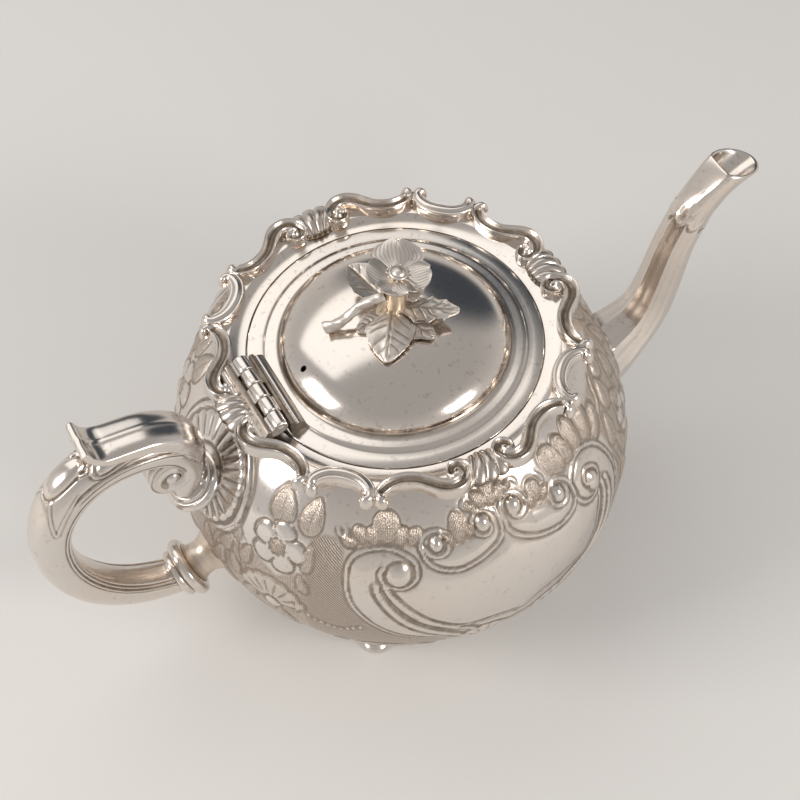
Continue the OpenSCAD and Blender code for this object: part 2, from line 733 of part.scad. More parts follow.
module finial_stem() {
    color(warm_silver) union() {
        difference() {
            stem_core();
            lid_solid();
        }
        translate([0, 0, apex_z - 8]) cylinder(d = stud_d, h = 10, $fn = fine);
    }
}

washer_r = 4.6;
washer_z = dome_z - lid_t * 0.4 + (dome_h - 0.6 * lid_t)
    * pow(sqrt(1 - pow(pow(washer_r / (dome_r - lid_t), 1 / 0.92), 2)), 1.1);
module finial_washer() {
    color(silver) translate([0, 0, washer_z - 0.8]) difference() {
        cylinder(r = washer_r, h = 0.8);
        translate([0, 0, -1]) cylinder(d = stud_d, h = 3, $fn = fine);
    }
}
module finial_nut() {
    color("#b9a15a") translate([0, 0, washer_z - 0.8 - 2.6]) difference() {
        cylinder(r = 3.6, h = 2.6, $fn = 6);
        translate([0, 0, -1]) cylinder(d = stud_d, h = 5, $fn = fine);
    }
}

// Cupped blossom: a bowl of sheet cut to five petals
module blossom() {
    color(silver) on_stem(stem_h) intersection() {
        rotate_extrude() polygon([[0, 0], [2.4, 0], [blossom_r * 0.55, 1.3], [blossom_r * 0.85, 3.4],
            [blossom_r + 1, 6.4], [blossom_r + 1, 6.4 + petal_t], [blossom_r * 0.82, 3.6 + petal_t],
            [blossom_r * 0.5, 1.6 + petal_t], [2.2, petal_t], [0, petal_t]]);
        linear_extrude(12) {
            circle(r = blossom_r * 0.5);
            for (i = [0 : 4]) rotate(72 * i + 54)
                translate([blossom_r * 0.58, 0]) circle(r = blossom_r * 0.42);
        }
    }
}
module blossom_eye() {
    color(silver) on_stem(stem_h + petal_t) rotate_extrude()
        polygon([[0, 0], [2, 0], [2.3, 1], [1.7, 1.9], [0.8, 2.2], [0, 2.3]]);
}

// Cast leaf: closed sheet, folded at its midrib, pointed at its far end
module cast_leaf(turn, start_r, start_z, length, half_w, droop, fold = 0.25, lobes = 0) {
    along = 12;
    across = 6;
    function width(u) = half_w * pow(sin(180 * pow(u, 0.75)), 0.8)
        * (1 - 0.16 * lobes * abs(sin(180 * lobes * u))) + 0.5;
    function mid(u) = [start_r + length * u, start_z + droop * u * u];
    function point(i, j, low) =
        let (u = i / along, v = 2 * j / across - 1, m = mid(u))
        [m[0], v * width(u), m[1] - fold * abs(v) * width(u) - (low ? petal_t : 0)];
    w = across + 1;
    n = (along + 1) * w;
    rim = concat([for (j = [0 : across]) j], [for (i = [1 : along]) i * w + across],
        [for (j = [across - 1 : -1 : 0]) along * w + j], [for (i = [along - 1 : -1 : 1]) i * w]);
    rotate([0, 0, turn]) polyhedron(
        concat([for (i = [0 : along], j = [0 : across]) point(i, j, false)],
            [for (i = [0 : along], j = [0 : across]) point(i, j, true)]),
        concat([for (i = [0 : along - 1], j = [0 : across - 1])
                let (a = i * w + j, b = a + 1, c = a + w, d = c + 1)
                each [[a, b, c], [b, d, c], [n + a, n + c, n + b], [n + b, n + c, n + d]]],
            [for (k = [0 : len(rim) - 1])
                let (a = rim[k], b = rim[(k + 1) % len(rim)])
                each [[a, n + a, b], [b, n + a, n + b]]]), convexity = 6);
}

// Leaves round the stem's foot, each cut clear of the stem and the dome
module seated() {
    color(silver) difference() {
        children();
        lid_solid();
        stem_core(tiny);
    }
}
// Height of the leaves' root on one of four tiers, so that they pass over each other
function tier(k) = apex_z + petal_t + 0.9 + k * (petal_t + 1.5);
leaf_start = stem_r - 0.6;
module leaf_left() { seated() cast_leaf(104, leaf_start, tier(1), 18, 6, 1.5, -0.4); }
module leaf_under_twig() { seated() cast_leaf(182, leaf_start, tier(0), 10, 3.6, -1); }
module leaf_front() { seated() cast_leaf(-122, leaf_start, tier(1), 16, 6, -4.4, 0.2); }
module leaf_lobed() { seated() cast_leaf(-72, leaf_start, tier(0), 11.5, 4.4, -0.6, 0.1, 3); }
module leaf_right() { seated() cast_leaf(-36, leaf_start, tier(1), 18.5, 5, 0.6, 0.15, 4); }
module leaf_back() { seated() cast_leaf(14, leaf_start + 1, tier(2), 10.5, 4, 1); }

// Cut stalk that lies across the dome
module twig() {
    twig_turn = 158;
    line = smooth([[leaf_start, apex_z + 6.4, 1.6, 1.6], [9, apex_z + 4.6, 1.5, 1.5],
        [15, apex_z + 1.6, 1.5, 1.5], [22, apex_z - 1.4, 1.9, 1.7]], 4);
    seated() rotate([0, 0, twig_turn]) bar(line, 10);
}

body_shell();
chased_scrolls();
base_plate();
foot(foot_turn - 180);  // foot_front_left
foot(-foot_turn);  // foot_front_right
foot(180 - foot_turn);  // foot_back_left
foot(foot_turn);  // foot_back_right
gallery();
rim_shell(0);  // rim_shell_spout
rim_shell(90);  // rim_shell_back
rim_shell_handle();
rim_shell(270);  // rim_shell_front
rim_c_scrolls();
spout();
handle();
handle_volute();
thumb_rest();
handle_tongue();
upper_socket();
upper_collar();
lower_socket();
lower_collar();
hinge_block();
hinge_pin();
lid_leaf();
lid();
lid_bezel();
finial_stem();
finial_nut();
finial_washer();
blossom();
blossom_eye();
leaf_left();
leaf_under_twig();
leaf_front();
leaf_lobed();
leaf_right();
leaf_back();
twig();
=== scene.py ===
import json
import math

import bmesh
import bpy
import numpy as np
from mathutils import Matrix, Vector


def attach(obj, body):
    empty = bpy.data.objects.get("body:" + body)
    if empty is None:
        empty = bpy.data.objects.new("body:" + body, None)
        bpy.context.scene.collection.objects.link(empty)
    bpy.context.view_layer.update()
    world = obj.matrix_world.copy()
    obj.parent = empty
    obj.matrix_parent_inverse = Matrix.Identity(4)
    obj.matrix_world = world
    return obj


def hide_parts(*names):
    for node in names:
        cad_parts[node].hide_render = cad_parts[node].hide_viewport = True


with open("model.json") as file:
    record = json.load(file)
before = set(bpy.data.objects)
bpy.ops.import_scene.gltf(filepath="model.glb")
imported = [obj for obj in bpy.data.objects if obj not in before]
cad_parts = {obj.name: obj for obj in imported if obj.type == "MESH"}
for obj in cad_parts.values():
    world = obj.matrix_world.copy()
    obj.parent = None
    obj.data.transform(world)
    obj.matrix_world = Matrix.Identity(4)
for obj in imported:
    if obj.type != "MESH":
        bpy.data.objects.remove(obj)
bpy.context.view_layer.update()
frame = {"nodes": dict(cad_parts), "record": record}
nodes = frame["nodes"]
scene = bpy.context.scene
mm = 0.001  # shapes below are worked out in millimetres
tau = 2 * math.pi

pot = "pot"
lidBody = "lid_assembly"

# place and aim in metres, roll in degrees, lens and film width in millimetres
view = {
    "place": (-0.147248, -0.301850, 0.560563),
    "aim": (0.018475, 0.036724, 0.015153),
    "roll": -3.47,
    "lens": 76.24,
    "film": 36,
}


def addCamera():
    data = bpy.data.cameras.new("camera")
    data.lens = view["lens"]
    data.sensor_width = view["film"]
    data.clip_start = 0.01
    camera = bpy.data.objects.new("camera", data)
    scene.collection.objects.link(camera)
    look = Vector(view["aim"]) - Vector(view["place"])
    turn = look.to_track_quat("-Z", "Y").to_matrix().to_4x4()
    turn = turn @ Matrix.Rotation(math.radians(view["roll"]), 4, "Z")
    camera.matrix_world = Matrix.Translation(view["place"]) @ turn
    scene.camera = camera


addCamera()

# a pale room with one darker side, which fades in between two nearnesses and above the horizon
studio = {
    "floorColour": (0.74, 0.725, 0.705),
    "floorRoughness": 0.75,
    "floorReach": 1.2,
    "worldTop": (0.42, 0.415, 0.41),
    "worldLow": (0.64, 0.62, 0.60),
    "topFrom": 0.75,
    "worldDark": (0.055, 0.065, 0.08),
    "darkToward": (0.66, 0.68, 0.32),
    "darkNear": (0.78, 0.93),
    "darkAbove": (0.07, 0.22),
    "worldStrength": 1.0,
    "lampsAim": (0.0, 0.0, 0.08),
}
lamps = {
    "sky": {"place": (-0.02, 0.62, 0.92), "size": (1.1, 0.7), "watts": 2.2, "colour": (1, 0.985, 0.96)},
    "left": {"place": (-0.95, 0.20, 0.65), "size": (0.5, 0.45), "watts": 6.0, "colour": (1, 0.96, 0.92)},
    "front": {"place": (0.45, -0.85, 0.60), "size": (0.4, 0.3), "watts": 4.4, "colour": (1, 0.97, 0.94)},
}


def addLamps():
    target = Vector(studio["lampsAim"])
    for name, lamp in lamps.items():
        data = bpy.data.lights.new(name, "AREA")
        data.shape = "RECTANGLE"
        data.size, data.size_y = lamp["size"]
        data.energy = lamp["watts"]
        data.color = lamp["colour"]
        obj = bpy.data.objects.new(name, data)
        obj.location = lamp["place"]
        obj.rotation_euler = (target - Vector(lamp["place"])).to_track_quat("-Z", "Y").to_euler()
        scene.collection.objects.link(obj)


def nodeMaker(tree, family="ShaderNode"):
    def make(kind, inputs=None, **settings):
        node = tree.nodes.new(family + kind)
        for key, value in settings.items():
            setattr(node, key, value)
        for key, value in (inputs or {}).items():
            if isinstance(value, bpy.types.NodeSocket):
                tree.links.new(value, node.inputs[key])
            else:
                node.inputs[key].default_value = value
        return node

    return make


def addWorld():
    world = bpy.data.worlds.new("softRoom")
    world.use_nodes = True
    make = nodeMaker(world.node_tree)
    toward = make("TexCoord").outputs["Generated"]
    up = make("SeparateXYZ", {0: toward}).outputs["Z"]
    ramp = make("ValToRGB", {0: up})
    for stop, place, colour in zip(ramp.color_ramp.elements, (0.0, studio["topFrom"]),
                                   ("worldLow", "worldTop")):
        stop.position = place
        stop.color = (*studio[colour], 1)
    dark = make("VectorMath", {0: toward, 1: Vector(studio["darkToward"]).normalized()},
                operation="DOT_PRODUCT")
    shares = [make("MapRange", {"Value": value, "From Min": studio[key][0], "From Max": studio[key][1]},
                   interpolation_type="SMOOTHSTEP").outputs[0]
              for value, key in ((dark.outputs["Value"], "darkNear"), (up, "darkAbove"))]
    both = make("Math", dict(enumerate(shares)), operation="MULTIPLY")
    mix = make("Mix", {0: both.outputs[0], 6: ramp.outputs[0], 7: (*studio["worldDark"], 1)},
               data_type="RGBA")
    back = world.node_tree.nodes["Background"]
    back.inputs["Strength"].default_value = studio["worldStrength"]
    world.node_tree.links.new(mix.outputs[2], back.inputs["Color"])
    scene.world = world


def addFloor():
    mesh = bpy.data.meshes.new("floor")
    reach = studio["floorReach"]
    edge = [(reach * math.cos(a), reach * math.sin(a), 0) for a in np.linspace(0, tau, 72, endpoint=False)]
    mesh.from_pydata(edge, [], [range(len(edge))])
    floor = bpy.data.objects.new("floor", mesh)
    scene.collection.objects.link(floor)
    mat = bpy.data.materials.new("floorPaper")
    mat.use_nodes = True
    shader = mat.node_tree.nodes["Principled BSDF"]
    shader.inputs["Base Color"].default_value = (*studio["floorColour"], 1)
    shader.inputs["Roughness"].default_value = studio["floorRoughness"]
    mesh.materials.append(mat)


addLamps()
addWorld()
addFloor()
scene.view_settings.view_transform = "Standard"
print("camera, lamps and floor are set")

# Colours of the plate, and how its marks are spread. A noise is its scale, detail and roughness; a mark has
# two more numbers, where it starts and where it is full.
plate = {
    "bright": (0.785, 0.72, 0.66),
    "cool": (0.68, 0.69, 0.705),
    "warm": (0.77, 0.655, 0.56),
    "tarnish": (0.20, 0.155, 0.115),
    "roughness": 0.17,
    "stain": (34, 4, 0.6, 0.42, 0.68),
    "bloom": (13, 2, 0.5, 0.4, 0.62),
    "bloomShare": 0.30,
    "spots": (420, 2, 0.6, 0.60, 0.72),
    "spotShare": 0.22,
    "hollows": (0.04, 0.62),
    "dirt": (260, 3, 0.7),
    "dirtLeast": 0.45,
    "dirtSpread": 1.1,
    "haze": (55, 4, 0.65),
    "hazeLeast": 0.75,
    "hazeSpread": 0.55,
    "hazeOfDirt": 0.32,
    "swell": (30.0, 1.5, 0.4),
    "swellHeight": 0.9,
    "hair": (1.0, 2, 0.6),
    "hairTurn": (0.3, 0.2, 0.9),
    "hairScale": (900, 60, 500),
    "hairHeight": 0.012,
    "pitScale": 260.0,
    "pitEdge": (0.12, 0.0),
    "pitPatches": (60, 2, 0.55, 0.5, 0.62),
    "pitHeight": 0.035,
    "grain": (900, 3, 0.7),
    "grainHeight": 0.06,
    "bump": (0.35, 0.0006),
}
# punched and hatched grounds of the chasing, and how dark its grooves are
chasing = {
    "dotScale": 1450.0,
    "dotEdge": (0.12, 0.62),
    "strokes": {"Scale": 540.0, "Distortion": 1.6, "Detail": 2.0, "Detail Scale": 2.5},
    "strokeShare": 0.5,
    "hatch": {"Scale": 365.0, "Distortion": 0.9, "Detail": 1.5, "Detail Scale": 3.0},
    "hatchTurn": -44,
    "hatchEdge": (0.2, 0.7),
    "dotShare": 0.25,
    "bump": (0.8, 0.0002),
    "grooveDark": 0.9,
    "warmth": 0.6,
    "tarnish": 0.15,
    "haze": 0.2,
}


def silver(name, bright=None, tarnish=0.75, roughness=None, grain=0.0, chased=False, warmth=0.35):
    mat = bpy.data.materials.new(name)
    mat.use_nodes = True
    tree = mat.node_tree
    make = nodeMaker(tree)
    shader = tree.nodes["Principled BSDF"]
    shader.inputs["Metallic"].default_value = 1.0
    place = make("TexCoord").outputs["Object"]

    def arithmetic(operation):
        def combine(a, b, clamp=False):
            return make("Math", {0: a, 1: b}, operation=operation, use_clamp=clamp).outputs[0]

        return combine

    times, plus, minus = arithmetic("MULTIPLY"), arithmetic("ADD"), arithmetic("SUBTRACT")

    def mixColour(share, a, b):
        a, b = ((*v, 1) if isinstance(v, tuple) else v for v in (a, b))
        return make("Mix", {0: share, 6: a, 7: b}, data_type="RGBA").outputs[2]

    def noise(kind, source=place):
        scale, detail, rough = plate[kind][:3]
        node = make("TexNoise", {"Vector": source, "Scale": scale, "Detail": detail, "Roughness": rough})
        return node.outputs["Fac"]

    def ramp(value, low, high):
        node = make("MapRange", {"Value": value, "From Min": low, "From Max": high}, clamp=True)
        return node.outputs[0]

    def marks(kind):
        return ramp(noise(kind), *plate[kind][3:])

    def fromMesh(name, kind="Fac"):
        return make("Attribute", attribute_name=name).outputs[kind]

    base = bright or plate["bright"]
    colour = mixColour(times(marks("stain"), warmth), base, plate["warm"])
    colour = mixColour(times(marks("bloom"), plate["bloomShare"]), colour, plate["cool"])
    dirt = times(ramp(fromMesh("cavity"), *plate["hollows"]), tarnish)
    patches = times(noise("dirt"), plate["dirtSpread"])
    dirt = times(dirt, plus(plate["dirtLeast"], patches), True)
    colour = mixColour(dirt, colour, plate["tarnish"])
    colour = mixColour(times(marks("spots"), plate["spotShare"]), colour, plate["tarnish"])

    rough = roughness if roughness is not None else plate["roughness"]
    haze = times(noise("haze"), rough * plate["hazeSpread"])
    haze = plus(rough * plate["hazeLeast"], haze)
    haze = plus(haze, times(dirt, plate["hazeOfDirt"]), True)

    # wobble of hand-planished sheet, hairline scratches and pits
    stretch = make("Mapping", {"Vector": place, "Rotation": plate["hairTurn"], "Scale": plate["hairScale"]})
    hair = noise("hair", stretch.outputs[0])
    pits = make("TexVoronoi", {"Vector": place, "Scale": plate["pitScale"]}).outputs["Distance"]
    pits = times(ramp(pits, *plate["pitEdge"]), marks("pitPatches"))
    height = times(noise("swell"), plate["swellHeight"])
    height = plus(height, times(hair, plate["hairHeight"]))
    height = minus(height, times(pits, plate["pitHeight"]))
    if grain:
        height = plus(height, times(noise("grain"), plate["grainHeight"] * grain))
    strength, distance = plate["bump"]
    normal = make("Bump", {"Height": height, "Strength": strength, "Distance": distance}).outputs[0]
    if chased:
        plan, matting, hatching = fromMesh("plan", "Vector"), fromMesh("matting"), fromMesh("hatching")
        dots = make("TexVoronoi", {"Vector": plan, "Scale": chasing["dotScale"]}).outputs["Distance"]
        dots = ramp(dots, *chasing["dotEdge"])
        across = make("Mapping", {"Vector": plan, "Rotation": (0, 0, math.radians(chasing["hatchTurn"]))})
        lines = make("TexWave", {"Vector": across.outputs[0], **chasing["hatch"]}).outputs["Fac"]
        lines = ramp(lines, *chasing["hatchEdge"])
        strokes = make("TexWave", {"Vector": plan, **chasing["strokes"]}).outputs["Fac"]
        share = chasing["strokeShare"]
        dots = plus(times(dots, 1 - share), times(strokes, share))
        punch = times(matting, dots)
        share = chasing["dotShare"]
        lines = plus(times(lines, 1 - share), times(dots, share))
        chase = plus(punch, times(hatching, lines))
        strength, distance = chasing["bump"]
        normal = make("Bump", {"Height": chase, "Strength": strength, "Distance": distance,
                               "Normal": normal}).outputs[0]
        worked = plus(matting, hatching, True)
        inGroove = times(minus(worked, chase, True), chasing["grooveDark"])
        colour = mixColour(times(worked, chasing["warmth"]), colour, plate["warm"])
        colour = mixColour(times(worked, chasing["tarnish"]), colour, plate["tarnish"])
        colour = mixColour(inGroove, colour, plate["tarnish"])
        haze = plus(haze, times(worked, chasing["haze"]), True)
    for key, value in (("Base Color", colour), ("Roughness", haze), ("Normal", normal)):
        tree.links.new(value, shader.inputs[key])
    return mat


bodySilver = silver("bodySilver", chased=True)
castSilver = silver("castSilver", tarnish=0.9, roughness=0.2)
sheetSilver = silver("sheetSilver", tarnish=0.8)
lidSilver = silver("lidSilver", tarnish=0.8, roughness=0.15, warmth=0.25)
handleSilver = silver("handleSilver", tarnish=0.8, roughness=0.19, warmth=0.5)
leafSilver = silver("leafSilver", tarnish=0.95, roughness=0.36, grain=1.0, warmth=0.45)
gilt = silver("gilt", bright=(0.82, 0.68, 0.50), tarnish=0.7, roughness=0.3, grain=0.6)
pitted = silver("pittedSilver", bright=(0.74, 0.64, 0.54), tarnish=0.9, roughness=0.34, grain=1.2,
                warmth=0.4)
brass = silver("brass", bright=(0.72, 0.58, 0.30), tarnish=0.6, roughness=0.35)


def plainObject(name, points, faces):
    mesh = bpy.data.meshes.new(name)
    mesh.from_pydata((np.asarray(points, float) * mm).tolist(), [],
                     [tuple(int(i) for i in f) for f in faces])
    obj = bpy.data.objects.new(name, mesh)
    scene.collection.objects.link(obj)
    return obj


def meshObject(name, points, faces, body, slot, material, replaced=(), sharp=40, shapes=None):
    obj = plainObject(name, points, faces)
    obj.data.validate()
    return finish(obj, body, material, replaced, sharp, shapes)


def paint(mesh, shapes):
    # keeps a value or a vector on each vertex for the materials
    for key, values in shapes.items():
        kind = "FLOAT_VECTOR" if np.ndim(values) == 2 else "FLOAT"
        layer = mesh.attributes.new(key, kind, "POINT")
        field = "vector" if kind == "FLOAT_VECTOR" else "value"
        layer.data.foreach_set(field, np.asarray(values, np.float32).ravel())


def finish(obj, body, material, replaced=(), sharp=40, shapes=None):
    mesh = obj.data
    mesh.materials.clear()
    mesh.materials.append(material)
    mesh.shade_smooth()
    if sharp:
        mesh.set_sharp_from_angle(angle=math.radians(sharp))
    shapes = dict(shapes or {})
    if "cavity" not in shapes and "cavity" not in mesh.attributes:
        shapes["cavity"] = hollows(mesh)
    paint(mesh, shapes)
    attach(obj, body)
    if replaced:
        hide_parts(*replaced)
    return obj


def hollows(mesh, times=2, strength=2.2):
    # 0 on flat and raised places, up to 1 in the hollows
    count = len(mesh.vertices)
    points = np.empty(count * 3, np.float32)
    mesh.vertices.foreach_get("co", points)
    normals = np.empty(count * 3, np.float32)
    mesh.vertices.foreach_get("normal", normals)
    ends = np.empty(len(mesh.edges) * 2, np.int32)
    mesh.edges.foreach_get("vertices", ends)
    points, normals, ends = points.reshape(-1, 3) / mm, normals.reshape(-1, 3), ends.reshape(-1, 2)
    a, b = ends[:, 0], ends[:, 1]
    across = points[b] - points[a]
    length = np.maximum(np.linalg.norm(across, axis=1), 1e-4)
    value = np.zeros(count)
    share = np.maximum(np.bincount(ends.ravel(), minlength=count), 1)
    for first, sign in ((a, 1), (b, -1)):
        value += np.bincount(first, np.einsum("ij,ij->i", normals[first], across) * sign / length, count)
    value = value / share * strength
    for _ in range(times):
        near = np.bincount(a, value[b], count) + np.bincount(b, value[a], count)
        value = 0.4 * value + 0.6 * near / share
    return np.clip(value * 3, 0, 1)


def gridFaces(rows, columns, start=0, ring=False):
    r, c = np.meshgrid(np.arange(rows - 1), np.arange(columns if ring else columns - 1), indexing="ij")
    a = start + r * columns + c
    b = start + r * columns + (c + 1) % columns
    d = start + (r + 1) * columns + c
    e = start + (r + 1) * columns + (c + 1) % columns
    return np.stack([a, b, e, d], -1).reshape(-1, 4)


def sheetFaces(rows, columns):
    # an upper grid, a lower grid after it and the border between them
    n = rows * columns
    faces = gridFaces(rows, columns).tolist() + gridFaces(rows, columns, n)[:, ::-1].tolist()
    border = list(range(columns)) + [i * columns + columns - 1 for i in range(1, rows)]
    border += [(rows - 1) * columns + j for j in range(columns - 2, -1, -1)]
    border += [i * columns for i in range(rows - 2, 0, -1)]
    faces += [(b, a, n + a, n + b) for a, b in zip(border, border[1:] + border[:1])]
    return [face[::-1] for face in faces]


def smoothRows(rows, steps):
    rows = np.asarray(rows, float)
    n = len(rows)
    out = []
    for i in range(n - 1):
        p0, p1, p2, p3 = rows[max(i - 1, 0)], rows[i], rows[i + 1], rows[min(i + 2, n - 1)]
        for j in range(steps):
            t = j / steps
            out.append(0.5 * (2 * p1 + (p2 - p0) * t + (2 * p0 - 5 * p1 + 4 * p2 - p3) * t * t
                              + (3 * p1 - p0 - 3 * p2 + p3) * t ** 3))
    out.append(rows[-1])
    return np.array(out)


def smoothstep(low, high, x):
    t = np.clip((x - low) / (high - low), 0, 1)
    return t * t * (3 - 2 * t)


def closedGrid(rings, flip=False):
    rows, columns = rings.shape[:2]
    faces = gridFaces(rows, columns, ring=True).tolist()
    faces.append(list(range(columns))[::-1])
    faces.append([(rows - 1) * columns + k for k in range(columns)])
    if flip:
        faces = [face[::-1] for face in faces]
    return rings.reshape(-1, 3), faces


def turnedShape(profile, steps=256):
    # turns (radius, height) points round the z axis
    angle = np.linspace(0, tau, steps, endpoint=False)
    points, faces, rows = [], [], []
    for r, z in profile:
        if r < 1e-6:
            rows.append([len(points)])
            points.append((0.0, 0.0, z))
        else:
            rows.append(list(range(len(points), len(points) + steps)))
            points += [(r * math.cos(a), r * math.sin(a), z) for a in angle]
    loops = list(zip(rows[:-1], rows[1:]))
    if len(rows[0]) > 1:
        loops.append((rows[-1], rows[0]))
    for low, high in loops:
        for k in range(steps if len(low) + len(high) > 2 else 0):
            n = (k + 1) % steps
            if len(low) == 1:
                faces.append((low[0], high[n], high[k]))
            elif len(high) == 1:
                faces.append((low[k], low[n], high[0]))
            else:
                faces.append((low[k], low[n], high[n], high[k]))
    return np.array(points), faces


def turned(name, profile, body, slot, material, replaced=(), steps=256, sharp=35, place=None):
    points, faces = turnedShape(profile, steps)
    if place is not None:
        points = place(points)
    return meshObject(name, points, faces, body, slot, material, replaced, sharp)


def rounded(profile, steps=4, soft=0.35):
    # softens the corners of a turned profile
    p = np.array(profile, float)
    out = [p[0]]
    for i in range(1, len(p) - 1):
        a, b, c = p[i - 1], p[i], p[i + 1]
        la, lc = np.linalg.norm(a - b), np.linalg.norm(c - b)
        cut = min(soft, la * 0.45, lc * 0.45)
        first, last = b + (a - b) / max(la, 1e-6) * cut, b + (c - b) / max(lc, 1e-6) * cut
        for t in np.linspace(0, 1, steps):
            out.append((1 - t) ** 2 * first + 2 * t * (1 - t) * b + t * t * last)
    out.append(p[-1])
    return np.array(out)


def headings(line):
    d = np.gradient(line, axis=0)
    return d / np.linalg.norm(d, axis=1, keepdims=True)


def settle(obj):
    # turns an object with live modifiers into a plain mesh
    graph = bpy.context.evaluated_depsgraph_get()
    done = bpy.data.meshes.new_from_object(obj.evaluated_get(graph))
    obj.modifiers.clear()
    obj.data = done
    return obj


def joined(shapes):
    points, faces, start = [], [], 0
    for shape, polygons in shapes:
        points.append(shape)
        faces += [[start + i for i in f] for f in polygons]
        start += len(shape)
    return np.concatenate(points), faces


def drill(width, low, high, sides):
    return turnedShape([(0, low), (width / 2, low), (width / 2, high), (0, high)], sides)


def cutAway(obj, shape):
    cutter = plainObject("bore", *shape)
    cut = obj.modifiers.new("bore", "BOOLEAN")
    cut.operation = "DIFFERENCE"
    cut.solver = "EXACT"
    cut.object = cutter
    settle(obj)
    bpy.data.objects.remove(cutter)


# two superellipses that meet at the girth
belly = {
    "girthRadius": 80.0, "girthHeight": 56.0, "topHeight": 106.5, "baseHeight": 5.0,
    "topRadius": 56.7, "baseRadius": 46.0, "lowerRound": 1.83, "upperRound": 2.22,
}
skin = {"columns": 420, "rows": 214, "innerRows": 14, "thickness": 0.6, "planRadius": 72}


def bellyRadius(z, more=0.0):
    z = np.asarray(z, float)
    g, n1, n2 = belly["girthRadius"], belly["upperRound"], belly["lowerRound"]
    upper = (belly["topHeight"] - belly["girthHeight"]) / (1 - (belly["topRadius"] / g) ** n1) ** (1 / n1)
    lower = (belly["girthHeight"] - belly["baseHeight"]) / (1 - (belly["baseRadius"] / g) ** n2) ** (1 / n2)
    up = z > belly["girthHeight"]
    q = np.abs(z - belly["girthHeight"]) / (np.where(up, upper, lower) + more)
    n = np.where(up, n1, n2)
    return (g + more) * np.clip(1 - q ** n, 0, 1) ** (1 / n)


# distance along the belly's outline, measured from a height of 8 mm
outlineZ = np.linspace(belly["baseHeight"], belly["topHeight"], 4000)
outlineR = bellyRadius(outlineZ)
outlineS = np.concatenate([[0], np.cumsum(np.hypot(np.diff(outlineZ), np.diff(outlineR)))])
outlineS -= np.interp(8.0, outlineZ, outlineS)


def pathPoints(path, steps=10):
    return smoothRows(np.array(path, float), steps)


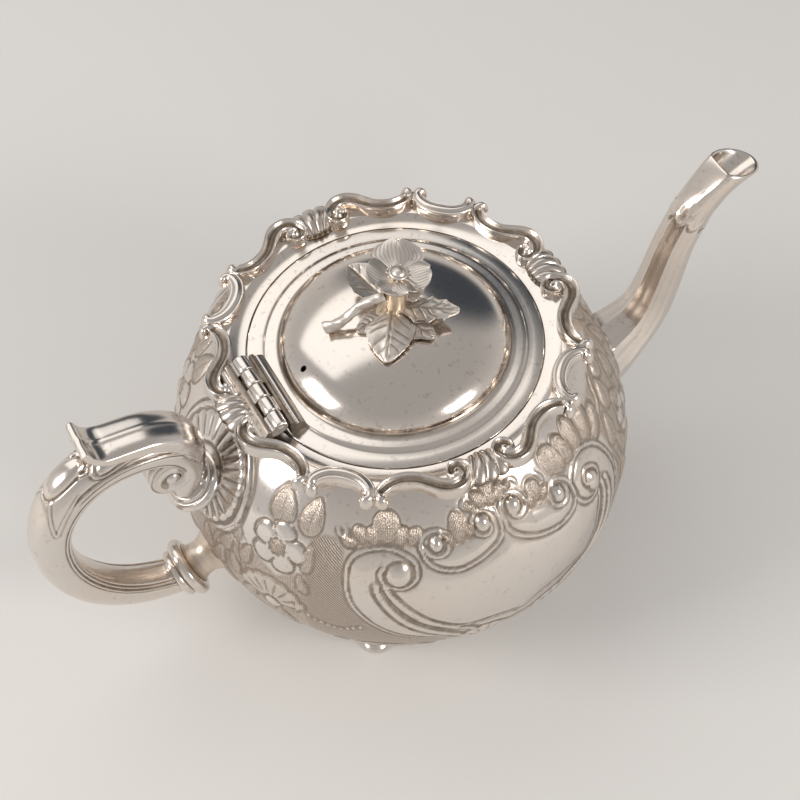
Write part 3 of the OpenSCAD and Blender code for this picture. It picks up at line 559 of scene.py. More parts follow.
class Relief:
    # heights over a strip whose columns are degrees and whose rows are millimetres along an outline
    def __init__(self, theta, s, r):
        self.theta = np.asarray(theta, float)[None, :].repeat(len(s), 0)
        self.s = np.asarray(s, float)[:, None].repeat(len(theta), 1)
        self.r = np.asarray(r, float)[:, None].repeat(len(theta), 1)
        self.height = np.zeros_like(self.s)
        self.matting = np.zeros_like(self.s)
        self.hatching = np.zeros_like(self.s)
        self.perDegree = math.pi / 180 * self.r

    def window(self, points, reach):
        t0, t1 = points[:, 0].min(), points[:, 0].max()
        s0, s1 = points[:, 1].min() - reach, points[:, 1].max() + reach
        lean = reach / self.perDegree.min()
        rows = np.where((self.s[:, 0] > s0) & (self.s[:, 0] < s1))[0]
        cols = np.where((self.theta[0] > t0 - lean) & (self.theta[0] < t1 + lean))[0]
        if len(rows) == 0 or len(cols) == 0:
            return None
        return np.s_[rows[0]:rows[-1] + 1, cols[0]:cols[-1] + 1]

    def near(self, points, reach):
        part = self.window(points, reach)
        if part is None:
            return None, None, None
        theta, s, k = self.theta[part], self.s[part], self.perDegree[part]
        best = np.full(s.shape, 1e9)
        share = np.zeros(s.shape)
        n = len(points)
        for i in range(n - 1):
            ax, ay = (theta - points[i, 0]) * k, s - points[i, 1]
            bx, by = (points[i + 1, 0] - points[i, 0]) * k, points[i + 1, 1] - points[i, 1]
            t = np.clip((ax * bx + ay * by) / np.maximum(bx * bx + by * by, 1e-9), 0, 1)
            d = np.hypot(ax - t * bx, ay - t * by)
            closer = d < best
            best = np.where(closer, d, best)
            share = np.where(closer, (i + t) / (n - 1), share)
        return part, best, share

    def ridge(self, path, width=0.55, high=0.45, groove=0.18, taper=0.12, steps=8):
        part, d, share = self.near(pathPoints(path, steps), width * 4)
        if part is None:
            return
        ends = smoothstep(0, taper, share) * smoothstep(0, taper, 1 - share) if taper else 1
        w = width * (0.45 + 0.55 * ends)
        crest = high * ends * np.clip(1 - (d / w) ** 2, 0, 1)
        ditch = groove * ends * np.exp(-((d - 1.7 * w) / (0.7 * w)) ** 2)
        self.height[part] += crest - ditch

    def groove(self, path, width=0.4, deep=0.25, steps=6):
        part, d, _ = self.near(pathPoints(path, steps), width * 3)
        if part is not None:
            self.height[part] -= deep * np.exp(-(d / width) ** 2)

    def inside(self, outline, steps=1):
        outline = pathPoints(outline, steps) if steps > 1 else np.array(outline, float)
        part = self.window(outline, 1.0)
        theta, s = self.theta[part], self.s[part]
        hit = np.zeros(s.shape, bool)
        loop = np.vstack([outline, outline[:1]])
        for a, b in zip(loop[:-1], loop[1:]):
            if a[1] != b[1]:
                across = (b[0] - a[0]) * (s - a[1]) / (b[1] - a[1]) + a[0]
                hit ^= ((a[1] > s) != (b[1] > s)) & (theta < across)
        return part, hit, self.near(loop, 1.0)[1]

    def swell(self, outline, high, reach, steps=1):
        part, hit, d = self.inside(outline, steps)
        self.height[part] += high * np.where(hit, 1 - np.exp(-d / reach), 0)

    def cover(self, part, share, mat=0.0):
        # what stands on a ground takes the ground's marks away
        self.matting[part] = np.maximum(self.matting[part] * (1 - share), mat * share)
        self.hatching[part] *= 1 - share

    def lobe(self, theta, s, long, wide, lean=0.0, high=0.7, mat=0.0, rim=0.25, point=0.0, flute=0,
             pit=0.0):
        part = self.window(np.array([[theta, s]]), max(long, wide) * 1.35 + 1)
        if part is None:
            return
        dx = (self.theta[part] - theta) * self.perDegree[part]
        dy = self.s[part] - s
        cosine, sine = math.cos(math.radians(lean)), math.sin(math.radians(lean))
        u, v = dx * cosine - dy * sine, dx * sine + dy * cosine
        w = wide * (1 - point * (v / long) * 0.5)
        rho = ((u / w) ** 2 + (v / long) ** 2) ** 0.5
        lift = high * np.clip(1 - rho ** 2, 0, 1) ** 0.6
        if flute:
            lift *= 0.72 + 0.28 * np.cos(u / w * math.pi * flute)
        lift -= pit * np.clip(1 - (rho / 0.75) ** 2, 0, 1)
        lift -= rim * np.exp(-((rho - 1.03) * min(long, wide) / 0.38) ** 2)
        before = self.height[part]
        self.height[part] = np.where(rho < 1.0, np.maximum(before, lift), before + lift)
        self.cover(part, smoothstep(1.0, 0.9, rho), mat)

    def fan(self, theta, s, inner, outer, first, last, count, high=0.6, mat=0.0, scallop=0.8):
        part = self.window(np.array([[theta, s]]), outer + 2)
        dx = (self.theta[part] - theta) * self.perDegree[part]
        dy = self.s[part] - s
        rad = np.hypot(dx, dy)
        ang = (np.degrees(np.arctan2(dx, dy)) - first) % 360
        span = last - first
        phase = ang / span * count
        within = (ang < span)
        edge = outer + scallop * np.abs(np.sin(math.pi * phase))
        flute = 0.5 + 0.5 * np.abs(np.sin(math.pi * phase)) ** 0.7
        rise = smoothstep(inner - 0.5, inner + 1.2, rad) * smoothstep(edge, edge - 1.1, rad) * within
        before = self.height[part]
        self.height[part] = np.where(rise > 0, np.maximum(before * (1 - rise), high * flute * rise), before)
        rimLine = np.exp(-((rad - edge) / 0.45) ** 2) * within
        self.height[part] += 0.35 * rimLine - 0.2 * np.exp(-((rad - edge - 0.9) / 0.4) ** 2) * within
        self.cover(part, rise, mat)

    def ground(self, outline, mat=0.0, hatch=0.0, deep=0.0, soft=1.0):
        part, hit, d = self.inside(outline)
        share = np.where(hit, smoothstep(0, soft, d), 0)
        self.height[part] -= deep * share
        self.matting[part] = np.maximum(self.matting[part], mat * share)
        self.hatching[part] = np.maximum(self.hatching[part], hatch * share)

    def polish(self, outline, high=0.0, reach=1.0):
        # smooths what is inside the outline and swells it
        part, hit, d = self.inside(outline)
        for layer in (self.matting, self.hatching):
            layer[part] = np.where(hit, 0, layer[part])
        self.height[part] = np.where(hit, high * (1 - np.exp(-d / reach)), self.height[part])


def blurred(height, times):
    for _ in range(times):
        pad = np.pad(height, 1, mode="edge")
        height = (pad[:-2, 1:-1] + pad[2:, 1:-1] + pad[1:-1, :-2] + pad[1:-1, 2:] + 2 * height) / 6
    return height


def recesses(height, times, broad, fine):
    # where a relief lies below its surroundings, from 0 to 1
    hollow = (blurred(height, times) - height) * broad + (blurred(height, 3) - height) * fine
    return np.clip(hollow, 0, 1)


# Ornament of the belly. Points are [degrees round the pot, millimetres up its outline], and -90 is the
# middle of the near side. First the smooth panel.
cartouche = [
    (-114, 88), (-113, 92), (-110, 89.7), (-107, 87.3), (-103, 86.3), (-99, 87.5), (-95.5, 89.3),
    (-92, 92), (-90.6, 95.5), (-90, 98.5), (-89.3, 96), (-88.5, 93), (-86, 89.5), (-82, 86),
    (-78, 84), (-74, 83), (-70, 84), (-67.8, 86.5), (-66.6, 84.5), (-64.5, 81), (-61.5, 79.3),
    (-59.3, 78), (-61.3, 70), (-63, 64.5), (-65.5, 60), (-68, 57.5), (-72, 57), (-78, 57),
    (-83, 56), (-86, 53.5), (-88, 50.5), (-90, 53), (-93.5, 55), (-98, 56), (-103, 56.3),
    (-107, 58.5), (-110.5, 62.5), (-114, 67.5), (-117.5, 73.5), (-120, 80), (-118.5, 81.8), (-115.5, 83.5),
]
# ridges of the scrolls round the panel
scrolls = {
    "topLeft": [(-108.3, 98.2), (-107.6, 96.2), (-108.8, 95.2), (-109.8, 97), (-109, 99.6), (-107, 100.2),
                (-105.4, 98), (-105.7, 94.6), (-107.8, 93), (-110.4, 94), (-112.3, 97), (-111.8, 93),
                (-110, 89.7), (-107, 87.3), (-103, 86.3), (-99, 87.5), (-95.5, 89.3), (-92, 92),
                (-90.6, 95.5), (-90.6, 100), (-91.5, 103), (-94, 104.7), (-97, 104), (-98.3, 101),
                (-97.8, 97.8), (-95.5, 96), (-93.6, 97), (-93.3, 99.5), (-94.6, 101)],
    "topLeftHood": [(-105.4, 98), (-106.4, 100.8), (-109, 102), (-111.5, 101), (-112.7, 98.2),
                    (-112.5, 95)],
    "topRight": [(-85.2, 101), (-86.9, 100.5), (-86.6, 98.3), (-84.5, 96.6), (-82.2, 98), (-81.8, 101),
                 (-83, 104.3), (-86, 105.8), (-88.5, 104.5), (-89.6, 101), (-89.3, 97), (-88.5, 93),
                 (-86, 89.5), (-82, 86), (-78, 84), (-74, 83), (-70, 84), (-67.8, 86.5), (-67.2, 90),
                 (-67.3, 94), (-68.8, 97.5), (-71.3, 99), (-73.8, 97), (-74.6, 94), (-74, 91),
                 (-71.5, 89.5), (-69.8, 90.8), (-70, 93)],
    "leftVolute": [(-121.4, 91.2), (-123.2, 88.6), (-122.9, 85),
                   (-121.4, 82.4), (-118.5, 81.6), (-115.6, 83.4), (-114, 87), (-114.4, 91.5),
                   (-117, 95), (-121, 97.2), (-126, 96.6), (-129.6, 94), (-131.3, 90.4), (-131.8, 85),
                   (-131.5, 79), (-130.4, 73), (-128.4, 68), (-125.5, 62.5), (-122, 58), (-118, 54.5),
                   (-112, 51), (-107.4, 47), (-104.4, 42), (-103, 36)],
    "rightVolute": [(-61.8, 86), (-62.9, 87.4), (-63, 90.2), (-61.4, 92.6), (-59.6, 91.6), (-57.9, 89),
                    (-57.5, 85.5), (-58.8, 81.6), (-61.5, 79.6), (-64.5, 81), (-66.6, 84.5), (-67.3, 88.5),
                    (-67, 93), (-65, 96.2), (-62, 98.4), (-58.5, 98.6), (-55, 96.4), (-52.6, 92.5),
                    (-50.9, 86), (-50.2, 79), (-50.5, 72), (-51.6, 66), (-53.4, 60), (-56.5, 55),
                    (-61, 51), (-66, 47.5), (-69.5, 42), (-71, 36)],
}
# ridges of the folds that fall from the two volutes
folds = {
    "leftOuter": [(-124.4, 85), (-124, 80), (-122.5, 75), (-120.5, 70), (-118, 65), (-115, 60.5),
                  (-111, 56), (-107.5, 52), (-104.6, 47.5), (-102.6, 42)],
    "leftInner": [(-122.6, 84), (-120.8, 78), (-118.5, 73), (-115.5, 67.5), (-112.5, 63), (-109, 59.5),
                  (-105, 55.5), (-101.5, 51.5), (-99.8, 46)],
    "leftEdge": [(-121.3, 80), (-117.8, 73.5), (-114.2, 67.5), (-110.6, 62.4), (-107, 58.6), (-103, 56.4),
                 (-98, 56), (-93.5, 55), (-90, 53), (-88, 50.3)],
    "rightEdge": [(-59, 80), (-59.6, 76), (-61.4, 70), (-63, 64.5), (-65.5, 60), (-68.5, 57.4),
                  (-73, 57), (-78, 57), (-83, 56), (-86, 53.6), (-88, 50.3)],
    "rightInner": [(-57.2, 82), (-57.2, 76), (-58.4, 70), (-60, 64), (-62.6, 58.6), (-66.4, 54.6),
                   (-71, 52.6), (-75, 50), (-77, 45)],
    "rightOuter": [(-55.6, 82), (-55.2, 75), (-55.8, 68), (-57.4, 61.6), (-60, 56.4), (-64, 52),
                   (-68.6, 49), (-72, 44)],
}
# balls in the scrolls: degrees, height, half length, half width
voluteBalls = [(-108.4, 97.4, 2.9, 2.2), (-95.2, 100.3, 3.4, 2.6), (-85.4, 101.2, 3.4, 2.6),
               (-72.1, 94.4, 3.6, 2.4), (-118.7, 87.4, 5.0, 4.3), (-60.6, 86.4, 4.6, 3.0)]
# stippled lobes: degrees, height, half length, half width, lean
lobes = [
    # shell over the left hood
    (-131.6, 98.2, 2.6, 1.9, -62), (-128.4, 101.2, 3.3, 2.2, -34), (-114.2, 101.0, 3.2, 2.3, 30),
    (-117.6, 101.2, 3.4, 2.1, 14), (-125.2, 101.0, 3.4, 2.0, -14), (-121.6, 104.4, 5.6, 4.3, 0),
    # between the two top scrolls on the left
    (-105.3, 98.4, 2.6, 1.7, -30), (-98.9, 99.0, 2.4, 1.5, 30), (-102.0, 101.8, 5.4, 2.9, 0),
    # top of the cartouche
    (-97.4, 106.6, 2.6, 1.6, -35), (-85.2, 108.0, 2.2, 1.4, 35), (-91.0, 108.6, 4.4, 3.3, 0),
    (-94.4, 108.2, 3.6, 2.2, -22), (-87.8, 107.9, 3.4, 2.1, 22),
    # right of it
    (-75.4, 98.8, 2.8, 1.6, 32), (-80.6, 99.0, 2.6, 1.5, -24), (-78.2, 101.6, 4.2, 2.9, 0),
    # broad shell on the right
    (-48.0, 98.5, 6.2, 3.2, 42), (-51.6, 103.6, 6.8, 3.8, 26), (-57.6, 105.2, 6.6, 3.4, 8),
    (-63.2, 104.6, 6.2, 3.2, -8), (-68.2, 104.8, 6.6, 4.4, -18),
]
rose = {"petals": 5, "turn": 12, "reach": 5.6, "petal": (4.7, 4.1), "heart": 2.9, "seeds": 10,
        "seedReach": 3.8, "seed": 0.65}
roses = [(-150.4, 87.6, 1.0), (-34.5, 79.5, 0.72), (-14.0, 81.0, 0.5)]  # degrees, height, size
# chased leaves, given as the lobes are
greens = [
    # leaves over the rose
    (-151.6, 103.4, 6.6, 4.4, -4), (-142.4, 103.2, 6.8, 3.7, 9),
    # leaves beside and under it
    (-141.8, 87.5, 6.0, 1.9, 6), (-143.2, 75.5, 4.2, 1.7, -14), (-159.2, 76.0, 5.2, 2.2, 16),
    (-162.6, 83.0, 3.6, 2.0, -10), (-165.8, 74.5, 5.4, 2.4, 22), (-163.0, 66.0, 5.2, 2.4, -14),
    (-168.5, 63.5, 6.4, 2.6, 14), (-173.6, 66.0, 6.0, 2.4, -10), (-158.5, 55.5, 5.2, 2.6, 24),
    (-166.8, 52.0, 6.0, 2.6, -18), (-174.8, 50.5, 6.4, 2.8, 12), (-149.0, 49.5, 5.6, 2.6, -16),
    # chased leaves by the spout
    (-44.6, 88.0, 6.6, 3.0, 16), (-42.0, 76.0, 6.4, 2.8, -18), (-44.2, 64.5, 6.2, 2.8, 14),
    (-37.6, 97.0, 6.0, 3.4, 24), (-31.0, 103.0, 4.8, 3.0, 50), (-26.6, 95.0, 5.4, 3.0, 20),
    (-34.2, 87.6, 6.0, 3.0, -24), (-24.0, 86.0, 5.8, 2.8, 18), (-36.4, 70.0, 6.4, 3.0, 20),
    (-28.4, 76.5, 5.8, 2.8, -12), (-30.6, 61.0, 6.0, 2.8, 24), (-22.0, 66.5, 5.6, 2.6, -8),
    (-38.6, 55.0, 6.0, 2.8, -22), (-18.6, 76.0, 5.4, 2.4, 8), (-16.6, 96.5, 5.2, 2.8, -6),
    (-13.6, 106.0, 4.2, 2.2, -30), (-10.4, 90.0, 4.6, 2.2, -24), (-24.0, 53.0, 5.6, 2.6, 14),
]
stems = [
    [(-50, 47), (-43.5, 56), (-40.6, 66), (-39.4, 78), (-37, 89), (-33.6, 98)],
    [(-41, 58), (-34, 66), (-31.6, 76), (-31.4, 88), (-28, 99)],
    [(-35, 48), (-27, 58), (-25.6, 70), (-27.4, 82), (-21.6, 91), (-17, 101)],
    [(-28, 48), (-20, 59), (-15.4, 68), (-14.4, 80), (-13.6, 92), (-14.6, 102)],
    [(-146, 44), (-152, 52), (-158, 62), (-161, 74), (-160.6, 84)],
    [(-160, 46), (-168, 55), (-171, 66), (-168.6, 76)],
]
# grounds: outline, matting, hatching, depth, width of the soft border
grounds = [
    ([(-142.6, 96), (-139, 99.5), (-135, 99.5), (-132, 95), (-132.4, 80), (-129, 68), (-120, 56),
      (-108, 47), (-106, 40), (-142.6, 40)], 0, 1.0, 0.10, 1.5),
    ([(-141.2, 84), (-141.2, 40), (-188, 40), (-188, 76), (-166, 77), (-158, 82),
      (-150, 76)], 0.8, 0, 0.16, 2.0),
    ([(-50, 96), (-47, 106), (-30, 108), (-6, 105), (8, 105), (8, 40), (-52, 40), (-53, 60), (-49, 74)],
     0.8, 0, 0.14, 2.0),
    ([(-128, 96.5), (-121, 99), (-115, 96), (-113.5, 99), (-121, 103), (-131.5, 98)], 0.9, 0, 0, 1.0),
    ([(-106, 95), (-103, 95), (-98.4, 96.6), (-98.6, 101), (-105, 100)], 0.9, 0, 0, 1.0),
    ([(-83.4, 97.2), (-80, 95), (-74.6, 93), (-74.8, 98), (-79, 101)], 0.9, 0, 0, 1.0),
    ([(-69, 98.5), (-66, 97), (-58, 100), (-52, 95), (-47, 96), (-52, 102), (-66, 103)], 0.9, 0, 0, 1.0),
]
# polished forms, laid in this order: outline, height, width of the rise
polished = [
    (cartouche, 1.25, 5.0),
    ([(-131.4, 90.4), (-129.5, 94), (-126, 96.4), (-121, 97), (-117, 94.6), (-114.6, 91), (-114.2, 86.8),
      (-116, 83.4), (-119, 82), (-121.6, 82.8), (-123.6, 84), (-124.2, 80), *folds["leftOuter"][2:9],
      (-104.4, 43), (-107.4, 47.4), (-112, 51), (-118, 54.8), (-122, 58.2), (-125.5, 62.7), (-128.3, 68.2),
      (-130.3, 73.2), (-131.4, 79), (-131.7, 85)], 1.0, 3.2),
    ([(-66.8, 93), (-65, 96), (-62, 98.2), (-58.5, 98.4), (-55, 96.2), (-52.8, 92.3), (-51.1, 86),
      (-50.4, 79), (-50.7, 72), (-51.8, 66), (-53.6, 60), (-56.8, 55.2), (-61, 51.4), (-66, 48),
      (-69, 46.6), *folds["rightOuter"][6::-1], *scrolls["rightVolute"][6:11]], 1.0, 3.2),
    ([(-112.3, 97), (-111.8, 93), (-110, 90), (-107, 87.7), (-103, 86.7), (-99, 87.9), (-95.5, 89.7),
      (-92.2, 92.4), (-91, 95.5), (-91, 100), (-92, 103), (-94, 104.2), (-97, 103.6), (-98, 100.6),
      (-97, 97.4), (-99.5, 95.6), (-103, 94.9), (-105.5, 94.6), (-105.4, 98.4), (-107, 101.2),
      (-110, 101.4), (-112, 99.6)],
     0.8, 2.6),
    ([(-89, 97), (-88.2, 93.2), (-85.8, 89.9), (-82, 86.5), (-78, 84.5), (-74, 83.5), (-70.2, 84.5),
      (-68.1, 87), (-67.6, 90), (-67.7, 94), (-69, 97.1), (-71.3, 98.5), (-73.4, 96.8), (-74.2, 94),
      (-74, 91.5), (-77, 93.4), (-81, 95), (-82.4, 98), (-82.2, 101), (-83.2, 103.8), (-86, 105.2),
      (-88.2, 104), (-89.2, 101)], 0.8, 2.6),
    ([*folds["leftOuter"], (-99.8, 42), *folds["leftInner"][:-4:-1], *folds["leftEdge"][4::-1],
      folds["leftInner"][0]], 0, 1.0),
    ([*folds["rightEdge"][:6], *folds["rightInner"][6:], *folds["rightOuter"][::-1],
      folds["rightInner"][0]],
     0, 1.0),
]
# curls and small cuts between the groups
curls = [
    [(-135, 103.4), (-134.6, 101), (-133, 99.4), (-132.4, 101.5), (-133.2, 103.4)],
    [(-144.8, 70), (-143.6, 73.5), (-142.2, 76.2), (-141.6, 73), (-142.8, 70.2)],
    [(-161, 86.5), (-163.6, 85), (-164, 81.5), (-162, 79.5), (-160.2, 81), (-161, 83)],
    [(-146.5, 67), (-144.6, 66), (-144, 62), (-145, 58.5), (-147, 57.5)],
    [(-84.6, 110.2), (-82.4, 108.8), (-81.6, 106.6)],
    [(-75.8, 106.4), (-74.4, 104), (-74.2, 101.6)],
    [(-98.8, 106), (-99.6, 108.4), (-98, 109.6)],
    [(-47, 92), (-45.6, 96), (-42, 99), (-38.4, 104), (-34, 107)],
    [(-48.4, 84), (-47.6, 78), (-46.6, 72), (-48, 66)],
]
# how each kind of ridge and lobe is drawn
ridges = {
    "stem": {"width": 0.5, "high": 0.4, "groove": 0.2, "taper": 0.1},
    "scroll": {"width": 0.58, "high": 0.5, "groove": 0.22, "taper": 0.03},
    "fold": {"width": 1.0, "high": 0.75, "groove": 0.2, "taper": 0.06},
    "foldEdge": {"width": 0.6, "high": 0.45, "groove": 0.2, "taper": 0.06},
    "curl": {"width": 0.55, "high": 0.45, "groove": 0.2, "taper": 0.2},
    "socket": {"width": 1.1, "high": 0.7, "groove": 0.25},
    "band": {"width": 0.8, "high": 0.6},
}
bosses = {
    "shell": {"high": 0.75, "mat": 1.0, "rim": 0.3},
    "leaf": {"high": 0.6, "mat": 0.75, "rim": 0.3, "point": 0.8},
    "bandLeaf": {"high": 0.6, "mat": 0.7, "point": 0.8},
    "ball": {"high": 2.2, "rim": 0.2},
    "fanHeart": {"high": 0.9, "rim": 0.35},
    "petal": {"high": 0.75, "rim": 0.35, "point": -0.5, "pit": 0.25},
    "heart": {"high": 0.9, "mat": 1.0, "rim": 0.35},
    "seed": {"high": 0.9, "rim": 0.1},
    "bead": {"high": 0.7, "rim": 0.2},
}
veins = {"width": 0.32, "deep": 0.3, "share": 0.8}
spoutFan, sideFan, socketFan = (0, 92), (-151.5, 58.5), (-180.0, 92.5)
# ridge round the fan at the upper socket, from the fan's place
socketRidge = [(0.1, 20.3), (9, 18.6), (15.2, 10), (16.6, 0), (15, -10), (9, -17.5)]
# curl beside each fan of the lower band: degrees from the fan, height
bandCurl = [(3, 27), (8, 28), (13, 33), (12.6, 38), (9.8, 38.6), (9.4, 35.5), (11, 34.6)]


def degreesPerMm(s):
    return 180 / math.pi / float(np.interp(s, outlineS, outlineR))


def chaseBelly(field):
    # grounds first, then what stands on them
    for ground in grounds:
        field.ground(*ground)
    for path in stems:
        field.ridge(path, **ridges["stem"])
    for place in lobes:
        field.lobe(*place, **bosses["shell"], flute=1 if place[3] > 2.5 else 0)
    for theta, s, long, wide, lean in greens:
        field.lobe(theta, s, long, wide, lean, **bosses["leaf"])
        tilt, k, half = math.radians(lean), degreesPerMm(s), long * veins["share"]
        vein = [(theta + math.sin(tilt) * t * k, s + math.cos(tilt) * t) for t in (-half, 0, half)]
        field.groove(vein, veins["width"], veins["deep"])
    for place in roses:
        chaseRose(field, *place)

    x, y = spoutFan
    field.fan(x, y, inner=2.6, outer=11.5, first=-90, last=0, count=4, high=0.75, mat=0.4)
    field.lobe(x, y - 1, 3.0, 2.4, high=0.9, rim=0.3)
    x, y = sideFan
    field.fan(x, y, inner=3.0, outer=12.5, first=-78, last=78, count=7, high=0.7, mat=0.25)
    field.lobe(x, y - 1, 3.0, 3.2, **bosses["fanHeart"])
    x, y = socketFan
    field.fan(x, y, inner=8.5, outer=18.5, first=0, last=180, count=11, high=0.9, scallop=0.7)
    field.ridge([(x + a, y + b) for a, b in socketRidge], **ridges["socket"])

    for form in polished:
        field.polish(*form)
    for path in scrolls.values():
        field.ridge(path, **ridges["scroll"])
    for name, path in folds.items():
        field.ridge(path, **ridges["foldEdge" if "Edge" in name else "fold"])
    for place in voluteBalls:
        field.lobe(*place, **bosses["ball"])
    for path in curls:
        field.ridge(path, **ridges["curl"])
    lowerBand(field)
    beadRow(field, 59.0, -141.5, -128.5, 9)


def around(theta, s, reach, turn):
    # a point at some distance from another on the belly, in a direction from its upward line
    return theta + math.sin(turn) * reach * degreesPerMm(s), s + math.cos(turn) * reach


def chaseRose(field, theta, s, size):
    long, wide = rose["petal"]
    for i in range(rose["petals"]):
        turn = math.radians(360 / rose["petals"] * i + rose["turn"])
        place = around(theta, s, rose["reach"] * size, turn)
        field.lobe(*place, long * size, wide * size, math.degrees(turn), **bosses["petal"])
    field.lobe(theta, s, rose["heart"] * size, rose["heart"] * size, **bosses["heart"])
    for i in range(rose["seeds"]):
        place = around(theta, s, rose["seedReach"] * size, math.radians(360 / rose["seeds"] * i))
        field.lobe(*place, rose["seed"], rose["seed"], **bosses["seed"])


def beadRow(field, s, first, last, count, radius=0.8, sag=3.2):
    for share in np.arange(count) / (count - 1):
        field.lobe(first + (last - first) * share, s - sag * math.sin(math.pi * share), radius, radius,
                   **bosses["bead"])


def lowerBand(field):
    # scrolls, lobes and fans under the girth, which meet below each group
    for theta in (-98.5, -77.5):
        field.fan(theta, 40.5, inner=2.4, outer=9.0, first=-70, last=70, count=5, high=0.8, scallop=0.6)
        field.lobe(theta, 39.5, 2.6, 2.6, high=1.0, rim=0.3)
    field.fan(-88, 33, inner=3.0, outer=10.0, first=-80, last=80, count=7, high=0.7, mat=0.6)
    for theta in (-160, -124, -54, -20):
        field.fan(theta, 30, inner=3.0, outer=11.0, first=-75, last=75, count=7, high=0.65, mat=0.5)
        for turn in (-1, 1):
            field.ridge([(theta + turn * a, b) for a, b in bandCurl], **ridges["band"])
            field.lobe(theta + turn * 16.5, 27, 5.2, 2.4, turn * 46, **bosses["bandLeaf"])


heights = np.linspace(outlineS[0], outlineS[-1], skin["rows"])
nearSide = Relief(np.linspace(-180, 0, skin["columns"]), heights, np.interp(heights, outlineS, outlineR))
nearSide.z = np.interp(nearSide.s, outlineS, outlineZ)
chaseBelly(nearSide)
# the relief fades out at the belly's two edges
nearSide.height *= (smoothstep(outlineS[-1], outlineS[-1] - 4, nearSide.s)
                    * smoothstep(outlineS[0], outlineS[0] + 6, nearSide.s))
nearSide.height = blurred(nearSide.height, 1)
nearSide.cavity = recesses(nearSide.height, 14, 3.2, 7)

# holes in the belly behind the spout, in staggered rows
strainer = {"height": 46.0, "pitch": 4.6, "row": 4.0, "hole": 3.0, "shift": 0.25}


def strainerBores():
    bores = []
    for row in range(-2, 3):
        for i in range(-2, 3):
            if abs(row) + abs(i) < 4:
                shift = strainer["shift"] * (-1 if row % 2 == 0 else 1)
                points, faces = drill(strainer["hole"], 60.0, 90.0, 24)
                y, z = (i + shift) * strainer["pitch"], strainer["height"] + row * strainer["row"]
                bores.append((np.stack([points[:, 2], points[:, 0] + y, points[:, 1] + z], -1), faces))
    return bores


def skinHalf(name, field, mirrored):
    # one half of the belly: the chased outside, a plain inside with fewer rows, and the edges between them
    rows, columns = field.s.shape
    theta = np.radians(-field.theta if mirrored else field.theta)
    outR = np.gradient(field.z[:, 0], field.s[:, 0])[:, None]
    outZ = -np.gradient(field.r[:, 0], field.s[:, 0])[:, None]

    def skinPoints(out, pick):
        r, z = (field.r + out * outR)[pick], (field.z + out * outZ)[pick]
        return np.stack([r * np.cos(theta[pick]), r * np.sin(theta[pick]), z], -1).reshape(-1, 3)

    few = skin["innerRows"]
    outer = skinPoints(field.height, slice(None))
    inner = skinPoints(-skin["thickness"], np.linspace(0, rows - 1, few).astype(int))
    start = rows * columns
    top, topIn = (rows - 1) * columns, start + (few - 1) * columns
    c = np.arange(columns - 1)
    crown = np.stack([top + c, top + c + 1, topIn + c + 1, topIn + c], -1)
    foot = np.stack([start + c, start + c + 1, c + 1, c], -1)
    faces = np.vstack([gridFaces(rows, columns), gridFaces(few, columns, start)[:, ::-1], crown, foot])
    faces = faces[:, ::-1].tolist() if mirrored else faces.tolist()
    for column in (0, columns - 1):
        outerLine = [row * columns + column for row in range(rows)]
        innerLine = [start + row * columns + column for row in range(few)]
        loop = outerLine + innerLine[::-1]
        faces.append(loop if (column == 0) == mirrored else loop[::-1])
    plan = np.stack([field.theta * math.pi / 180 * skin["planRadius"] * mm, field.s * mm, field.s * 0], -1)
    shapes = {key: np.concatenate([getattr(field, key).ravel(), np.zeros(len(inner))])
              for key in ("cavity", "matting", "hatching")}
    shapes["plan"] = np.vstack([plan.reshape(-1, 3), np.zeros((len(inner), 3))])
    half = plainObject(name, np.vstack([outer, inner]), faces)
    paint(half.data, shapes)
    cutAway(half, joined(strainerBores()))
    return finish(half, pot, bodySilver, sharp=60)


front = skinHalf("bellyNearSide", nearSide, False)
skinHalf("bellyFarSide", nearSide, True)
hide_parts("body_shell", "chased_scrolls")
print("the belly is chased")

# gallery ring under the rim, with a hollowed slope
slope = [(49.8 + 5.7 * t, 108.3 + 1.5 * t * t) for t in np.linspace(0, 1, 12)]
galleryProfile = [(46.2, 101.4), (47.4, 101.4), (47.4, 106.2), (50.6, 106.3), (55.2, 107.6), (55.2, 106.5),
                  (56.7, 106.5), (56.9, 108.1), (58.8, 108.6), (58.8, 109.6), (58.3, 109.8), *slope[::-1],
                  (49.8, 108.05), (49.8, 107.4), (46.2, 107.4)]
turned("gallerySlope", rounded(galleryProfile, 3, 0.25), pot, "gallery", sheetSilver, ("gallery",),
       sharp=50)

dome = {"radius": 38.5, "base": 110.6, "height": 13.4, "sheet": 1.0, "steamHole": 2.0, "steamPlace": -33.5}


def domeLine(cut, steps=40):
    a = np.radians(np.linspace(0, 90, steps))
    r = (dome["radius"] - cut) * np.cos(a) ** 0.92
    z = dome["base"] - cut * 0.4 + (dome["height"] - 0.6 * cut) * np.sin(a) ** 1.1
    r[-1] = 0
    return list(zip(r, z))


def addLid():
    upper = [(49.5, 107.4), (49.5, 108.25), (49.2, 108.55), (46.4, 108.8), (44.3, 108.95), (43.8, 109.15),
             (43.3, 109.5), (42.4, 109.65), (40.2, 109.85), (39.5, 109.95), (39.0, 110.2)]
    under = [(42.0, 107.4), (40.8, 109.1), (38.2, 109.2)]
    profile = np.vstack([domeLine(dome["sheet"])[::-1], under[::-1], rounded(upper, 4, 0.3), domeLine(0)])
    lid = plainObject("lidDome", *turnedShape(profile, 320))
    points, faces = drill(dome["steamHole"], 105.0, 130.0, 28)
    cutAway(lid, (points + np.array([dome["steamPlace"], 0, 0]), faces))
    finish(lid, lidBody, lidSilver, ("lid",), sharp=28)


addLid()
print("gallery and lid are turned")

